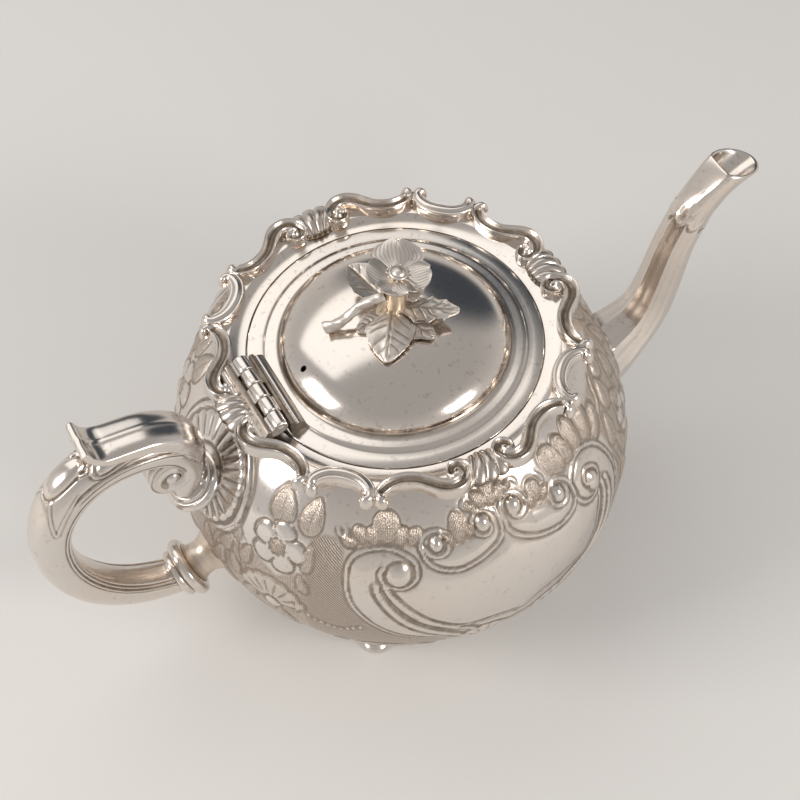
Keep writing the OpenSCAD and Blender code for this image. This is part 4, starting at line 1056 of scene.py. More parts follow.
# rows are x, z, half width and half height
spout = {
    "rows": [(60, 45, 16.8, 19.8), (70, 45, 16, 18.5), (79, 45.3, 15.2, 17), (86, 47, 13.8, 15),
             (93.3, 51, 11.6, 12), (100.6, 57, 9.8, 9.8), (105.6, 65, 8.6, 8.6), (109.2, 77, 7.8, 7.9),
             (112.4, 90, 7.3, 7.4), (115.8, 99, 7.1, 7.3), (120, 107.8, 7.1, 7.2), (125, 114.2, 7.2, 7.1),
             (129.8, 118.9, 7.6, 7.2), (134.8, 121.9, 8, 7.4), (139.8, 124.1, 8.3, 7.6),
             (145, 125.9, 8.5, 7.8)],
    "steps": 18, "sides": 120, "wall": 1.3, "mouth": (127.2, 123.0), "mouthSlope": 17.5, "inBelly": 0.9,
    # eight hollowed panels with sharp ridges end in a scalloped line; a pointed leaf is cut above each
    "panelEnd": 103.0, "scallopTop": 2.6, "scallopDeep": 4.6, "hollow": 0.012, "ridge": 0.004, "line": 0.03,
    "leafHigh": 11, "leafDeep": 0.02, "roundHead": 0.975, "headSwell": 0.045, "fromBelly": (44, 60),
    # the top is flattened toward the mouth
    "flatFrom": 103.0, "flatTo": 119.0, "flat": 0.36,
}


def spoutSurface(cut=0.0):
    rows = smoothRows(spout["rows"], spout["steps"])
    d = headings(rows[:, :2])
    a = np.linspace(0, tau, spout["sides"], endpoint=False)
    corner = np.abs((a / (math.pi / 4) + 0.5) % 1 - 0.5) * 2  # 0 on a ridge, 1 in the middle of a panel
    flat = np.cos(math.pi / 8) / np.cos((1 - corner) * math.pi / 8)
    dish = spout["hollow"] * np.sin(math.pi * np.clip(corner, 0, 1)) ** 2
    hollowed = flat * (1 - dish) + spout["ridge"] * np.exp(-(corner / 0.12) ** 2)
    z = rows[:, 1][:, None]
    scallop = np.sqrt(np.clip(1 - (1 - corner) ** 2, 0, 1))[None, :]
    tongue = spout["panelEnd"] + spout["scallopTop"] - spout["scallopDeep"] * scallop
    panel = smoothstep(0.9, -0.3, z - tongue)
    near = smoothstep(*spout["fromBelly"], z)
    share = panel * (0.55 + 0.45 * near)
    roundHead = spout["roundHead"] + spout["headSwell"] * np.exp(-((z - tongue - 1.3) / 1.0) ** 2)
    k = share * hollowed[None, :] + (1 - share) * roundHead
    line = spout["line"] * np.exp(-((z - tongue) / 0.5) ** 2)
    k = k - line * (z > 80)
    climb = (z - tongue - 1.5) / spout["leafHigh"]
    leaf = np.exp(-((corner - climb) / 0.17) ** 2)
    leaf = leaf + 0.7 * np.exp(-((corner - 1) / 0.2) ** 2) * (climb < 0.8)
    k = k - spout["leafDeep"] * leaf * ((climb > 0) & (climb < 1.05))
    n = np.cos(a)[None, :] * (rows[:, 3][:, None] * k - cut)
    flatFrom, flatTo = spout["flatFrom"], spout["flatTo"]
    over = n - (rows[:, 3][:, None] - cut) * (1 - spout["flat"] * smoothstep(flatFrom, flatTo, z))
    n = n - 0.46 * (over + np.sqrt(over ** 2 + 0.3)) * smoothstep(flatFrom, flatFrom + 4, z)
    y = np.sin(a)[None, :] * (rows[:, 2][:, None] * k - cut)
    return np.stack([rows[:, :1] - d[:, 1:2] * n, y, rows[:, 1:2] + d[:, :1] * n], -1)


def trimmed(surface, level, count):
    # cuts each line of the surface where level(point) passes zero, and spaces its points anew
    rows, columns = surface.shape[:2]
    out = np.empty((count, columns, 3))
    value = level(surface)
    for c in range(columns):
        crossing = np.where((value[:-1, c] < 0) & (value[1:, c] >= 0))[0]
        i = crossing[0]
        t = i + value[i, c] / (value[i, c] - value[i + 1, c])
        at = np.linspace(0, t, count)
        for axis in range(3):
            out[:, c, axis] = np.interp(at, np.arange(rows), surface[:, c, axis])
    return out


def mouthLevel(points):
    x, z = spout["mouth"]
    s = math.radians(spout["mouthSlope"])
    return (points[..., 0] - x) * math.sin(s) + (points[..., 2] - z) * math.cos(s)


def bellyLevel(points, more=0.0):
    z = np.clip(points[..., 2], belly["baseHeight"], belly["topHeight"])
    return np.hypot(points[..., 0], points[..., 1]) - bellyRadius(z) - more


def addSpout():
    # both skins start a little inside the belly and end at the mouth
    skins = []
    for cut, count in ((0.0, 230), (spout["wall"], 60)):
        surface = trimmed(spoutSurface(cut)[::-1], lambda p: -bellyLevel(p, -spout["inBelly"]), count)[::-1]
        skins.append(trimmed(surface, mouthLevel, count))
    outer, inner = skins
    lip = []
    for t in np.linspace(0, 1, 6)[1:-1]:
        middle = outer[-1] * (1 - t) + inner[-1] * t
        lip.append(middle + np.array([0.34, 0, 0.94]) * 0.55 * math.sin(math.pi * t))
    rings = np.concatenate([outer, np.array(lip), inner[::-1]])
    rows, columns = rings.shape[:2]
    faces = gridFaces(rows, columns, ring=True).tolist()
    last = (rows - 1) * columns
    faces += [(last + k, last + (k + 1) % columns, (k + 1) % columns, k) for k in range(columns)]
    meshObject("spoutHorn", rings.reshape(-1, 3), [f[::-1] for f in faces], pot, "spout", handleSilver,
               ("spout",), sharp=34)
    addSpoutEdge(spoutSurface())


def addSpoutEdge(surface):
    # turned-out edge where the spout meets the belly; its inner side follows the spout's own walls
    line = trimmed(surface[::-1], lambda p: -bellyLevel(p, 0.0), 40)[-1]
    along = (trimmed(surface[::-1], lambda p: -bellyLevel(p, 3.0), 40)[-1] - line) / 3.0
    middle = line.mean(0)
    ahead = np.roll(line, -1, 0) - np.roll(line, 1, 0)
    ahead /= np.linalg.norm(ahead, axis=1, keepdims=True)
    e = 0.3
    grad = np.stack([bellyLevel(line + e * axis) - bellyLevel(line - e * axis) for axis in np.eye(3)], -1)
    out = grad / np.linalg.norm(grad, axis=1, keepdims=True)
    side = np.cross(ahead, out)
    side *= np.sign(np.einsum("ij,ij->i", side, line - middle))[:, None]
    profile = [(-0.6, -0.9), (6.2, -0.9), (6.9, 0.3), (6.7, 1.0), (6.0, 1.3), (5.2, 1.0), (4.7, 0.8),
               (3.2, 1.0), (1.8, 1.4), (0.7, 2.2), (0.0, 3.5), (-0.7, 3.6)]
    profile = rounded(profile + [profile[0]], 3, 0.3)[:-1]
    rings = np.stack([line + side * u + (along if u < 2.5 and v > 0 else out) * v for u, v in profile], 1)
    rows, columns = rings.shape[:2]
    wrapped = np.concatenate([rings, rings[:1]])
    faces = gridFaces(rows + 1, columns, ring=True) % (rows * columns)
    meshObject("spoutEdge", wrapped[:-1].reshape(-1, 3), faces, pot, "spout", handleSilver)


addSpout()
print("the spout is drawn")

# rows are x, z, half width and half height, from the lower collar round to the upper one
handle = {
    "rows": [(-87.5, 34, 5.9, 5.9), (-91.3, 32.7, 5.9, 5.9), (-95.5, 33.6, 6, 6), (-101.5, 36.2, 6.2, 6.2),
             (-108, 40, 6.3, 6.4), (-114.4, 45.6, 6.4, 6.5), (-120.0, 52.8, 6.5, 6.6),
             (-124.4, 61.3, 6.6, 6.6), (-127.4, 70.8, 6.7, 6.6), (-128.6, 80.6, 6.8, 6.6),
             (-128.0, 90.4, 7, 6.6), (-125.2, 99.6, 7.2, 6.7), (-120.2, 107.6, 7.4, 6.7),
             (-113.0, 113.8, 7.6, 6.6), (-103.4, 117.2, 7.8, 6.5), (-93.4, 116.4, 7.9, 6),
             (-84.6, 112.6, 7.9, 5.7), (-79.2, 105.8, 7.8, 5.4), (-78, 98, 7.6, 5.4),
             (-81.05, 90.57, 7.2, 6), (-77.7, 85.6, 7, 6)],
    "steps": 22, "sides": 200, "power": 0.8,
}
handleLine = smoothRows(handle["rows"], handle["steps"])
handleHeading = headings(handleLine[:, :2])
handleLength = np.concatenate([[0], np.cumsum(np.hypot(*np.diff(handleLine[:, :2], axis=0).T))])


def handleAt(row):
    return float(np.interp(row * handle["steps"], np.arange(len(handleLine)), handleLength))


# Lines chased on both sides of the handle, as [degrees from the outer side, number of the row].
handleLines = {
    "edges": [(118, 0.42, 0.5), (130, 0.5, 0.55)],  # degrees, height, width
    "panel": [[(8, 12.3), (34, 11.9), (62, 11.4), (86, 10.9)],
              [(86, 10.9), (85, 11.6), (80, 12.3), (68, 12.95)]],
    "lobe": [(14, 14.9), (12, 14.3), (18, 13.8), (40, 13.6), (60, 13.62), (68, 13.9), (62, 14.25),
             (50, 14.75), (40, 15.4), (31, 16.1), (26, 16.7)],
    "border": [(88, 12.4), (84, 13.3), (80, 14.2), (75, 15.1), (69, 15.9), (64, 16.5), (66, 17.4)],
    "curl": [(8, 13.6), (10, 13.35), (22, 13.25), (28, 13.45), (20, 13.55)],
    "tongueRow": 12.85,
}
handleRidges = {
    "edges": {"groove": 0.16, "taper": 0.03, "steps": 2},
    "panel": {"width": 0.5, "high": 0.2, "groove": 0.08, "taper": 0.05},
    "lobe": {"width": 0.6, "high": 0.55, "groove": 0.35, "taper": 0.08},
    "border": {"width": 0.7, "high": 0.6, "groove": 0.3},
    "curl": {"width": 0.5, "high": 0.5, "groove": 0.3},
}


def handleSurface(out):
    a = np.radians(np.linspace(-180, 180, handle["sides"], endpoint=False))
    sinA, cosA = np.sin(a), np.cos(a)
    line, d = handleLine, handleHeading
    y = (line[:, 2:3] + out) * np.sign(sinA) * np.abs(sinA) ** handle["power"]
    n = (line[:, 3:4] + out) * np.sign(cosA) * np.abs(cosA) ** handle["power"]
    return np.stack([line[:, :1] - d[:, 1:2] * n, y, line[:, 1:2] + d[:, :1] * n], -1)


def addHandle():
    field = Relief(np.linspace(-180, 180, handle["sides"], endpoint=False), handleLength, handleLine[:, 2])
    for side in (-1, 1):
        def onSide(points):
            return [(side * a, handleAt(row)) for a, row in points]

        for a, high, width in handleLines["edges"]:
            line = onSide([(a, row) for row in np.linspace(0.9, 17.6, 34)])
            field.ridge(line, width, high, **handleRidges["edges"])
        for line in handleLines["panel"]:
            field.ridge(onSide(line), **handleRidges["panel"])
        # leaf that hangs from the thumb rest, and the curl beside the tongue
        lobe = onSide(handleLines["lobe"])
        field.swell(lobe, high=1.1, reach=1.5, steps=3)
        field.ridge(lobe[1:], **handleRidges["lobe"])
        for key in ("border", "curl"):
            field.ridge(onSide(handleLines[key]), **handleRidges[key])
    field.lobe(0, handleAt(handleLines["tongueRow"]), 7.4, 3.6, high=2.2, rim=0.45)
    points, faces = closedGrid(handleSurface(blurred(field.height, 1)), True)
    meshObject("handleBar", points, faces, pot, "handle", handleSilver, ("handle", "handle_tongue"),
               sharp=0, shapes={"cavity": recesses(field.height, 10, 2.6, 6).ravel()})


thumb = {
    # number of the handle's row, half width, fall of the sides, thickness
    "back": [(17.6, 6.8, 5.2, 3.2), (17.1, 7.4, 4.8, 4.4), (16.6, 7.7, 4.0, 5.2), (16.1, 7.7, 3.1, 5.2),
             (15.6, 7.6, 2.5, 5.0), (15.1, 7.5, 2.0, 4.6)],
    "rise": 3.6,
    # x, z on the upper face, half width, fall of the sides, thickness
    "tip": [(-100.0, 127.1, 7.5, 1.7, 4.1), (-103.2, 127.5, 7.5, 1.1, 3.4), (-105.6, 128.6, 7.4, 0.5, 3.0),
            (-107.4, 130.6, 7.3, 0.0, 2.8), (-108.5, 132.9, 7.1, -0.3, 2.8)],
}


def addThumbRest():
    rows = []
    for row, half, fall, thick in thumb["back"]:
        i = int(round(row * handle["steps"]))
        p, d = handleLine[i], handleHeading[i]
        rise = p[3] + thumb["rise"] * smoothstep(18.2, 16.4, row)
        rows.append((p[0] - d[1] * rise, p[1] + d[0] * rise, half, fall, thick))
    rows = smoothRows(rows + thumb["tip"], 12)
    # the handle runs backward here, so the normal is turned up
    d = headings(rows[:, :2])
    normal = np.stack([d[:, 1], -d[:, 0]], -1)
    v = np.linspace(-1, 1, 61)
    fold = 0.28 * np.exp(-(v / 0.10) ** 2)
    sheets = []
    for low in (0, 1):
        thick = rows[:, 4:5] * low * np.sqrt(np.clip(1 - (np.abs(v)[None, :] / 1.02) ** 6, 0, 1))
        drop = rows[:, 3:4] * np.abs(v)[None, :] ** 2.3 + thick - fold[None, :] * (1 - low)
        if low == 0:
            drop = drop + 0.5 * smoothstep(0.86, 1.0, np.abs(v))[None, :] ** 2
        y = rows[:, 2:3] * np.sin(v * math.pi / 2 * 0.96)[None, :] / math.sin(math.pi / 2 * 0.96)
        sheets.append(np.stack([rows[:, :1] - normal[:, :1] * drop, y,
                                rows[:, 1:2] - normal[:, 1:2] * drop], -1))
    upper, lower = sheets
    # rounded end
    ring = np.concatenate([upper, lower[:, ::-1]], 1)
    last = ring[-1] * 0.5 + np.concatenate([lower[-1], upper[-1, ::-1]]) * 0.5
    ahead = np.array([d[-1, 0], 0, d[-1, 1]])
    ends = []
    for t in (0.3, 0.55, 0.75, 0.9, 1.0):
        k = math.sqrt(1 - t * t)
        ends.append(ring[-1] * k + last * (1 - k) + ahead * 1.15 * t)
    rings = np.concatenate([ring, np.array(ends)])
    points, faces = closedGrid(rings)
    meshObject("thumbRest", points, faces, pot, "handle", handleSilver, ("thumb_rest",), sharp=50)


volute = {"place": (-85.4, 101.4), "radius": 7.4, "width": 15.0, "turns": 1.6, "sides": 160,
          "faceRings": 40, "sink": 1.5, "wave": 0.35, "bead": 2.5, "beadHigh": 1.9, "eye": 2.6,
          "eyeDeep": 1.3, "edge": 0.7, "bandSwell": 0.35}


def addVolute():
    # rolled end of the handle: a drum whose two faces carry a spiral and a bead
    phi = np.linspace(0, tau, volute["sides"], endpoint=False)
    rings = []
    for side in (-1, 1):
        part = []
        for t in np.linspace(0, 1, volute["faceRings"]):
            r = volute["radius"] * (0.02 + 0.98 * t)
            turn = (phi * side + t * volute["turns"] * tau) % tau
            wave = 0.5 + 0.5 * np.cos(turn)
            sink = volute["sink"] * (1 - t) ** 0.7 * (r > volute["eye"]) * (0.4 + 0.6 * wave)
            sink = sink + volute["wave"] * wave * (t > 0.4)
            bead = volute["beadHigh"] * math.sqrt(max(1 - (r / volute["bead"]) ** 2, 0))
            edge = volute["edge"] * smoothstep(0.86, 1.0, t) ** 2
            deep = volute["eyeDeep"] if r <= volute["eye"] else 0
            y = side * (volute["width"] / 2 - sink - edge + bead - deep)
            part.append(np.stack([r * np.cos(phi), np.broadcast_to(y, phi.shape), r * np.sin(phi)], -1))
        rings.append(part if side < 0 else part[::-1])
    band = []
    for y in np.linspace(-volute["width"] / 2 + 0.9, volute["width"] / 2 - 0.9, 24):
        swell = volute["bandSwell"] * math.cos(y / volute["width"] * tau * 2.5) ** 2
        r = volute["radius"] + 0.05 + swell
        band.append(np.stack([r * np.cos(phi), np.full_like(phi, y), r * np.sin(phi)], -1))
    rings = np.array(rings[0] + band + rings[1]) + np.array([volute["place"][0], 0, volute["place"][1]])
    points, faces = closedGrid(rings, True)
    meshObject("handleVolute", points, faces, pot, "handle", handleSilver, ("handle_volute",))


addHandle()
addThumbRest()
addVolute()
print("the handle is swept")

rim = {
    "circle": 56.1, "flat": 109.75, "high": 4.2, "half": 2.5, "knob": 2.1,
    # degrees from the shell's middle, mm outside the circle, share of the full size
    "longScroll": [(7.3, 0.5, 0.35), (8.3, 1.9, 0.5), (9.9, 1.7, 0.62), (10.6, 0.2, 0.68),
                   (9.6, -1.3, 0.75), (7.7, -1.4, 0.82), (6.4, 0.2, 0.9), (6.8, 3.0, 0.98),
                   (9.0, 5.2, 1.04), (12.2, 5.7, 1.08), (15.2, 4.6, 1.08), (18.0, 2.7, 1.04),
                   (21.0, 1.0, 1.0), (24.5, 0.3, 1.0), (28.0, 0.7, 0.98), (31.0, 2.3, 0.92),
                   (32.9, 4.7, 0.84), (33.2, 6.6, 0.8), (32.1, 7.4, 0.66), (31.2, 6.7, 0.5)],
    "shortScroll": [(-6.6, 6.6, 0.5), (-7.6, 7.5, 0.68), (-8.8, 6.8, 0.82), (-8.6, 4.6, 0.92),
                    (-6.9, 2.2, 1.0), (-4.0, 0.5, 1.06), (0, -0.1, 1.1), (4.0, 0.5, 1.06), (6.9, 2.2, 1.0),
                    (8.6, 4.6, 0.92), (8.8, 6.8, 0.82), (7.6, 7.5, 0.68), (6.6, 6.6, 0.5)],
    "shellHalfAngle": 7.6, "flutes": 4, "shellGrid": (120, 30),
}
# half of a cast moulding: share of the half width and of the height, from the middle outward
mouldings = {
    "hollow": [(0.0, 0.60), (0.2, 0.62), (0.38, 0.72), (0.52, 0.86), (0.66, 0.96), (0.8, 0.99),
               (0.92, 0.92), (1.0, 0.72), (1.03, 0.45), (1.02, -0.06)],
    "round": [(0.0, 1.0), (0.2, 0.985), (0.38, 0.93), (0.52, 0.86), (0.63, 0.83), (0.76, 0.84), (0.9, 0.74),
              (1.0, 0.52), (1.03, 0.3), (1.02, -0.06)],
}


def castMoulding(path, moulding, half, high, steps=9):
    rows = smoothRows(path, steps)
    angle = np.radians(rows[:, 0])
    reach = rim["circle"] + rows[:, 1]
    line = np.stack([reach * np.cos(angle), reach * np.sin(angle)], -1)
    d = headings(line)
    side = np.stack([-d[:, 1], d[:, 0]], -1)
    profile = np.array(mouldings[moulding])
    profile = np.vstack([profile[:0:-1] * (-1, 1), profile])
    # each end swells to a round knob
    run = np.concatenate([[0], np.cumsum(np.hypot(*np.diff(line, axis=0).T))])
    toEnd = np.minimum(run, run[-1] - run)
    knob = rim["knob"]
    swelling = np.sqrt(np.clip(1 - np.clip(1 - toEnd / knob, 0, 1) ** 2, 0.004, 1))
    share = smoothstep(1.5 * knob, 2.6 * knob, toEnd)
    wide = knob * swelling * (1 - share) + half * rows[:, 2] * share
    tall = high * 0.92 * (0.25 + 0.75 * swelling) * (1 - share)
    tall = tall + high * (0.35 + 0.65 * rows[:, 2]) * share
    crown = np.sqrt(np.clip(1 - (profile[:, 0] / 1.04) ** 2, 0, 1))
    crown[[0, -1]] = -0.06
    shape = profile[None, :, 1] * share[:, None] + crown[None, :] * (1 - share[:, None])
    v = profile[None, :, 0] * wide[:, None]
    h = np.maximum(shape, -0.06) * tall[:, None]
    x = line[:, :1] + side[:, :1] * v
    y = line[:, 1:] + side[:, 1:] * v
    return closedGrid(np.stack([x, y, rim["flat"] + h], -1), True)


def castShell():
    across, along = rim["shellGrid"]
    u = np.linspace(-1, 1, across)[:, None]
    v = np.linspace(0, 1, along)[None, :]
    phase = (u + 1) / 2 * rim["flutes"] + 0.9 * (v - 0.5)
    flute = np.abs(np.sin(math.pi * phase)) ** 0.42
    angle = np.radians(rim["shellHalfAngle"] * u * (0.62 + 0.46 * v))
    tip = 6.9 + 1.1 * flute - 0.9 * u ** 2
    low = -3.2 - 0.5 * flute + 0.8 * u ** 2
    r = rim["circle"] + low + (tip - low) * v
    crown = np.sin(math.pi * (0.10 + 0.80 * v)) ** 0.8
    h = rim["high"] * 1.06 * crown * (0.70 + 0.30 * flute) * (1 - 0.25 * u ** 2)
    top = np.stack([r * np.cos(angle), r * np.sin(angle), rim["flat"] + h], -1)
    under = top.copy()
    under[..., 2] = np.where(v < 0.66, rim["flat"] - 0.2, rim["flat"] - 0.2 + (v - 0.66) * 2.0)
    return np.concatenate([top.reshape(-1, 3), under.reshape(-1, 3)]), sheetFaces(across, along)


def mirrored(points, faces):
    return points * (1, -1, 1), [f[::-1] for f in faces]


def ringTree(name):
    # sets copies of a piece round the pot's axis
    tree = bpy.data.node_groups.new(name, "GeometryNodeTree")
    face = tree.interface
    for way in ("INPUT", "OUTPUT"):
        face.new_socket("Geometry", in_out=way, socket_type="NodeSocketGeometry")
    sockets = {}
    for label, kind, value in (("Count", "Int", 4), ("First angle", "Float", 0.0),
                               ("Turn between", "Float", tau / 4), ("Radius", "Float", 0.0),
                               ("Height", "Float", 0.0), ("Finish", "Material", None)):
        socket = face.new_socket(label, in_out="INPUT", socket_type="NodeSocket" + kind)
        if value is not None:
            socket.default_value = value
        sockets[label] = socket.identifier
    geometry, shader = nodeMaker(tree, "GeometryNode"), nodeMaker(tree)
    start, end = tree.nodes.new("NodeGroupInput").outputs, tree.nodes.new("NodeGroupOutput")
    line = geometry("MeshLine", {"Count": start["Count"], "Offset": (0, 0, 0)})
    turn = shader("Math", {0: geometry("InputIndex").outputs[0], 1: start["Turn between"],
                           2: start["First angle"]}, operation="MULTIPLY_ADD").outputs[0]
    place = {2: start["Height"]}
    for axis, operation in enumerate(("COSINE", "SINE")):
        way = shader("Math", {0: turn}, operation=operation)
        place[axis] = shader("Math", {0: way.outputs[0], 1: start["Radius"]},
                             operation="MULTIPLY").outputs[0]
    move = geometry("SetPosition", {"Geometry": line.outputs[0],
                                    "Position": shader("CombineXYZ", place).outputs[0]})
    copies = geometry("InstanceOnPoints", {"Points": move.outputs[0], "Instance": start["Geometry"],
                                           "Rotation": shader("CombineXYZ", {2: turn}).outputs[0]})
    real = geometry("RealizeInstances", {0: copies.outputs[0]})
    painted = geometry("SetMaterial", {"Geometry": real.outputs[0], "Material": start["Finish"]})
    tree.links.new(painted.outputs[0], end.inputs[0])
    return tree, sockets


ringOfCopies, ringSockets = ringTree("ringOfCopies")


def copiesRound(obj, material, count, between, first=0, radius=0, height=0):
    grow = obj.modifiers.new("ring", "NODES")
    grow.node_group = ringOfCopies
    values = {"Count": count, "First angle": math.radians(first), "Turn between": math.radians(between),
              "Radius": radius * mm, "Height": height * mm, "Finish": material}
    for label, value in values.items():
        grow[ringSockets[label]] = value
    return settle(obj)


def addRim():
    shell = castShell()
    scroll = castMoulding(rim["longScroll"], "hollow", rim["half"], rim["high"])
    section = plainObject("rimSections", *joined([shell, scroll, mirrored(*scroll)]))
    copiesRound(section, castSilver, count=4, between=90)
    shells = ["rim_shell_" + side for side in ("spout", "back", "handle", "front")]
    finish(section, pot, castSilver, shells, sharp=42)
    bone = castMoulding(rim["shortScroll"], "round", rim["half"], rim["high"])
    between = plainObject("rimShortScrolls", *bone)
    copiesRound(between, castSilver, count=4, between=90, first=45)
    finish(between, pot, castSilver, ("rim_c_scrolls",), sharp=42)


addRim()
print("the rim is cast")

# Where the handle's ends meet the pot: place (x, z), lean in degrees, and the collar's radius and bore.
# A ring's points are outward from that radius and along the axis; a socket's are radius and place along it.
joints = {
    "lower": {"place": (-87.5, 34.0), "lean": -19.0, "radius": 11.3, "bore": 3.4,
              "ring": [(-2.4, -2.8), (-1.2, -2.5), (-0.3, -1.6), (0, -0.5), (-0.3, 0.6), (-1.2, 1.4),
                       (-2.3, 1.7), (-2.8, 1.9), (-2.4, 2.4), (-2.1, 3.3), (-2.4, 4.2), (-3.4, 4.8),
                       (-4.4, 5.1), (-5.2, 6.0)],
              "socket": [(0, -26), (11.6, -26), (10.4, -15), (8.4, -11.6), (7.0, -9.4), (6.4, -7.2),
                         (6.5, -5.0), (7.4, -3.4), (8.2, -2.9), (0, -2.9)]},
    "upper": {"place": (-77.7, 85.6), "lean": 56.0, "radius": 11.2, "bore": 3.4,
              "ring": [(-1.6, -2.2), (-0.7, -1.7), (-0.1, -0.8), (0, 0), (-0.3, 0.9), (-1.1, 1.6),
                       (-2.0, 1.8), (-2.5, 1.7), (-2.9, 2.1), (-3.3, 2.5)],
              "socket": [(0, -26), (12.6, -26), (11.2, -17), (10.0, -11), (9.2, -7.4), (8.9, -5.0),
                         (9.0, -2.4), (0, -2.4)]},
}


def onAxis(joint):
    x, z = joint["place"]
    turn = math.radians(joint["lean"])
    ahead = np.array([-math.cos(turn), 0, math.sin(turn)])
    aside = np.array([math.sin(turn), 0, math.cos(turn)])

    def place(points):
        return (np.array([x, 0, z]) + points[:, 2:3] * ahead + points[:, :1] * aside
                + points[:, 1:2] * np.array([0, 1, 0]))

    return place


def fluted(points, count, deep, low, high):
    # flutes a turned shape between two heights of its own axis
    x, y, z = points.T
    angle, r = np.arctan2(y, x), np.hypot(x, y)
    share = smoothstep(low - 0.6, low + 0.6, z) * smoothstep(high + 0.6, high - 0.6, z)
    wave = (0.5 + 0.5 * np.cos(angle * count)) ** 0.8 * deep * share * (r > 4)
    k = (r - wave) / np.maximum(r, 1e-6)
    return points * np.stack([k, k, np.ones_like(k)], -1)


def addCollars():
    for name, joint in joints.items():
        r, place = joint["radius"], onAxis(joint)
        ring = [(r + a, z) for a, z in joint["ring"]]
        ring = [(joint["bore"], ring[0][1]), *ring, (joint["bore"], ring[-1][1])]
        turned(name + "Collar", rounded(ring, 3, 0.4), pot, "collars", handleSilver, (name + "_collar",),
               steps=128, sharp=60, place=place)
        if name == "lower":
            points, faces = turnedShape(rounded(joint["socket"], 4, 0.9), 128)
            slot, finishing = "gilt", pitted
        else:
            points, faces = turnedShape(rounded(joint["socket"], 5, 2.0), 264)
            points = fluted(points, count=22, deep=0.7, low=-22, high=-4.2)
            slot, finishing = "body", handleSilver
        meshObject(name + "Socket", place(points), faces, pot, slot, finishing, (name + "_socket",),
                   sharp=60)


addCollars()

# turn from the long axis, distance from the pot's axis, lobes of the knee, gadroons of the ball, profile
feet = {
    "turn": 50.0, "reach": 57.0, "lobes": 5, "lobeDeep": 0.10, "gadroons": 12, "gadroonDeep": 0.05,
    "profile": [(0, 0), (3.4, 0), (4.5, 0.25), (5.0, 1.0), (4.7, 1.9), (3.9, 2.5), (3.3, 3.1), (3.15, 3.9),
                (3.6, 4.6), (4.1, 5.4), (4.2, 6.2), (3.8, 7.0), (3.9, 7.6), (4.8, 8.6), (5.9, 10.2),
                (6.8, 12.4), (7.2, 15.0), (6.6, 17.0), (0, 17.0)],
}


def addFeet():
    # cast foot: a rolled sole, a ball and a lobed knee that spreads on the belly
    points, faces = turnedShape(rounded(feet["profile"], 3, 0.5), 96)
    x, y, z = points.T
    angle = np.arctan2(y, x)
    lobed = 1 + smoothstep(7.6, 12.0, z) * (feet["lobeDeep"] * np.cos(feet["lobes"] * angle) - 0.05)
    onBall = smoothstep(4.2, 5.2, z) * smoothstep(7.4, 6.4, z)
    ball = 1 - feet["gadroonDeep"] * (0.5 + 0.5 * np.cos(feet["gadroons"] * angle)) * onBall
    points = points * np.stack([lobed * ball, lobed * ball, np.ones_like(z)], -1)
    turn = feet["turn"]
    for words, degrees in ((("Front", "Left"), turn - 180), (("Front", "Right"), -turn),
                           (("Back", "Left"), 180 - turn), (("Back", "Right"), turn)):
        a = math.radians(degrees)
        spin = np.array([[math.cos(a), math.sin(a), 0], [-math.sin(a), math.cos(a), 0], [0, 0, 1]])
        at = (points + np.array([feet["reach"], 0, 0])) @ spin
        node = "_".join(("foot", *words)).lower()
        meshObject("foot" + "".join(words), at, faces, pot, "feet", castSilver, (node,), sharp=50)


addFeet()
print("collars and feet are set")

# top of the dome, the stem's length, radius and lean in degrees, and the leaves' thickness
finial = {"apex": 124.0, "stem": 18.2, "stemRadius": 3.9, "lean": 8.0, "sheet": 1.1, "stamens": 14,
          "leafGrid": (90, 61), "petalGrid": (60, 49)}


def onStem(along=0.0):
    a = math.radians(finial["lean"])
    turn = np.array([[math.cos(a), 0, -math.sin(a)], [0, 1, 0], [math.sin(a), 0, math.cos(a)]])

    def place(points):
        return (points + np.array([0, 0, along])) @ turn + np.array([0, 0, finial["apex"]])

    return place


def sheetLeaf(name, point, along, across, thick, material, slot, replaced=()):
    # closed leaf from a function that gives its upper face and the depth of its veins
    u = np.linspace(0, 1, along)[:, None] + np.zeros((1, across))
    v = np.linspace(-1, 1, across)[None, :] + np.zeros((along, 1))
    top, hollow = point(u, v)
    edge = np.minimum(1, 6 * np.minimum(np.minimum(u, 1 - u) * 3, 1 - np.abs(v)))
    low = top - np.array([0, 0, 1]) * (thick * (0.35 + 0.65 * np.sqrt(np.clip(edge, 0, 1))))[..., None]
    shape = np.concatenate([top.reshape(-1, 3), low.reshape(-1, 3)])
    cavity = np.concatenate([hollow.ravel(), hollow.ravel() * 0.5 + 0.2])
    return meshObject(name, shape, sheetFaces(along, across), lidBody, slot, material, replaced, sharp=70,
                      shapes={"cavity": np.clip(cavity, 0, 1)})


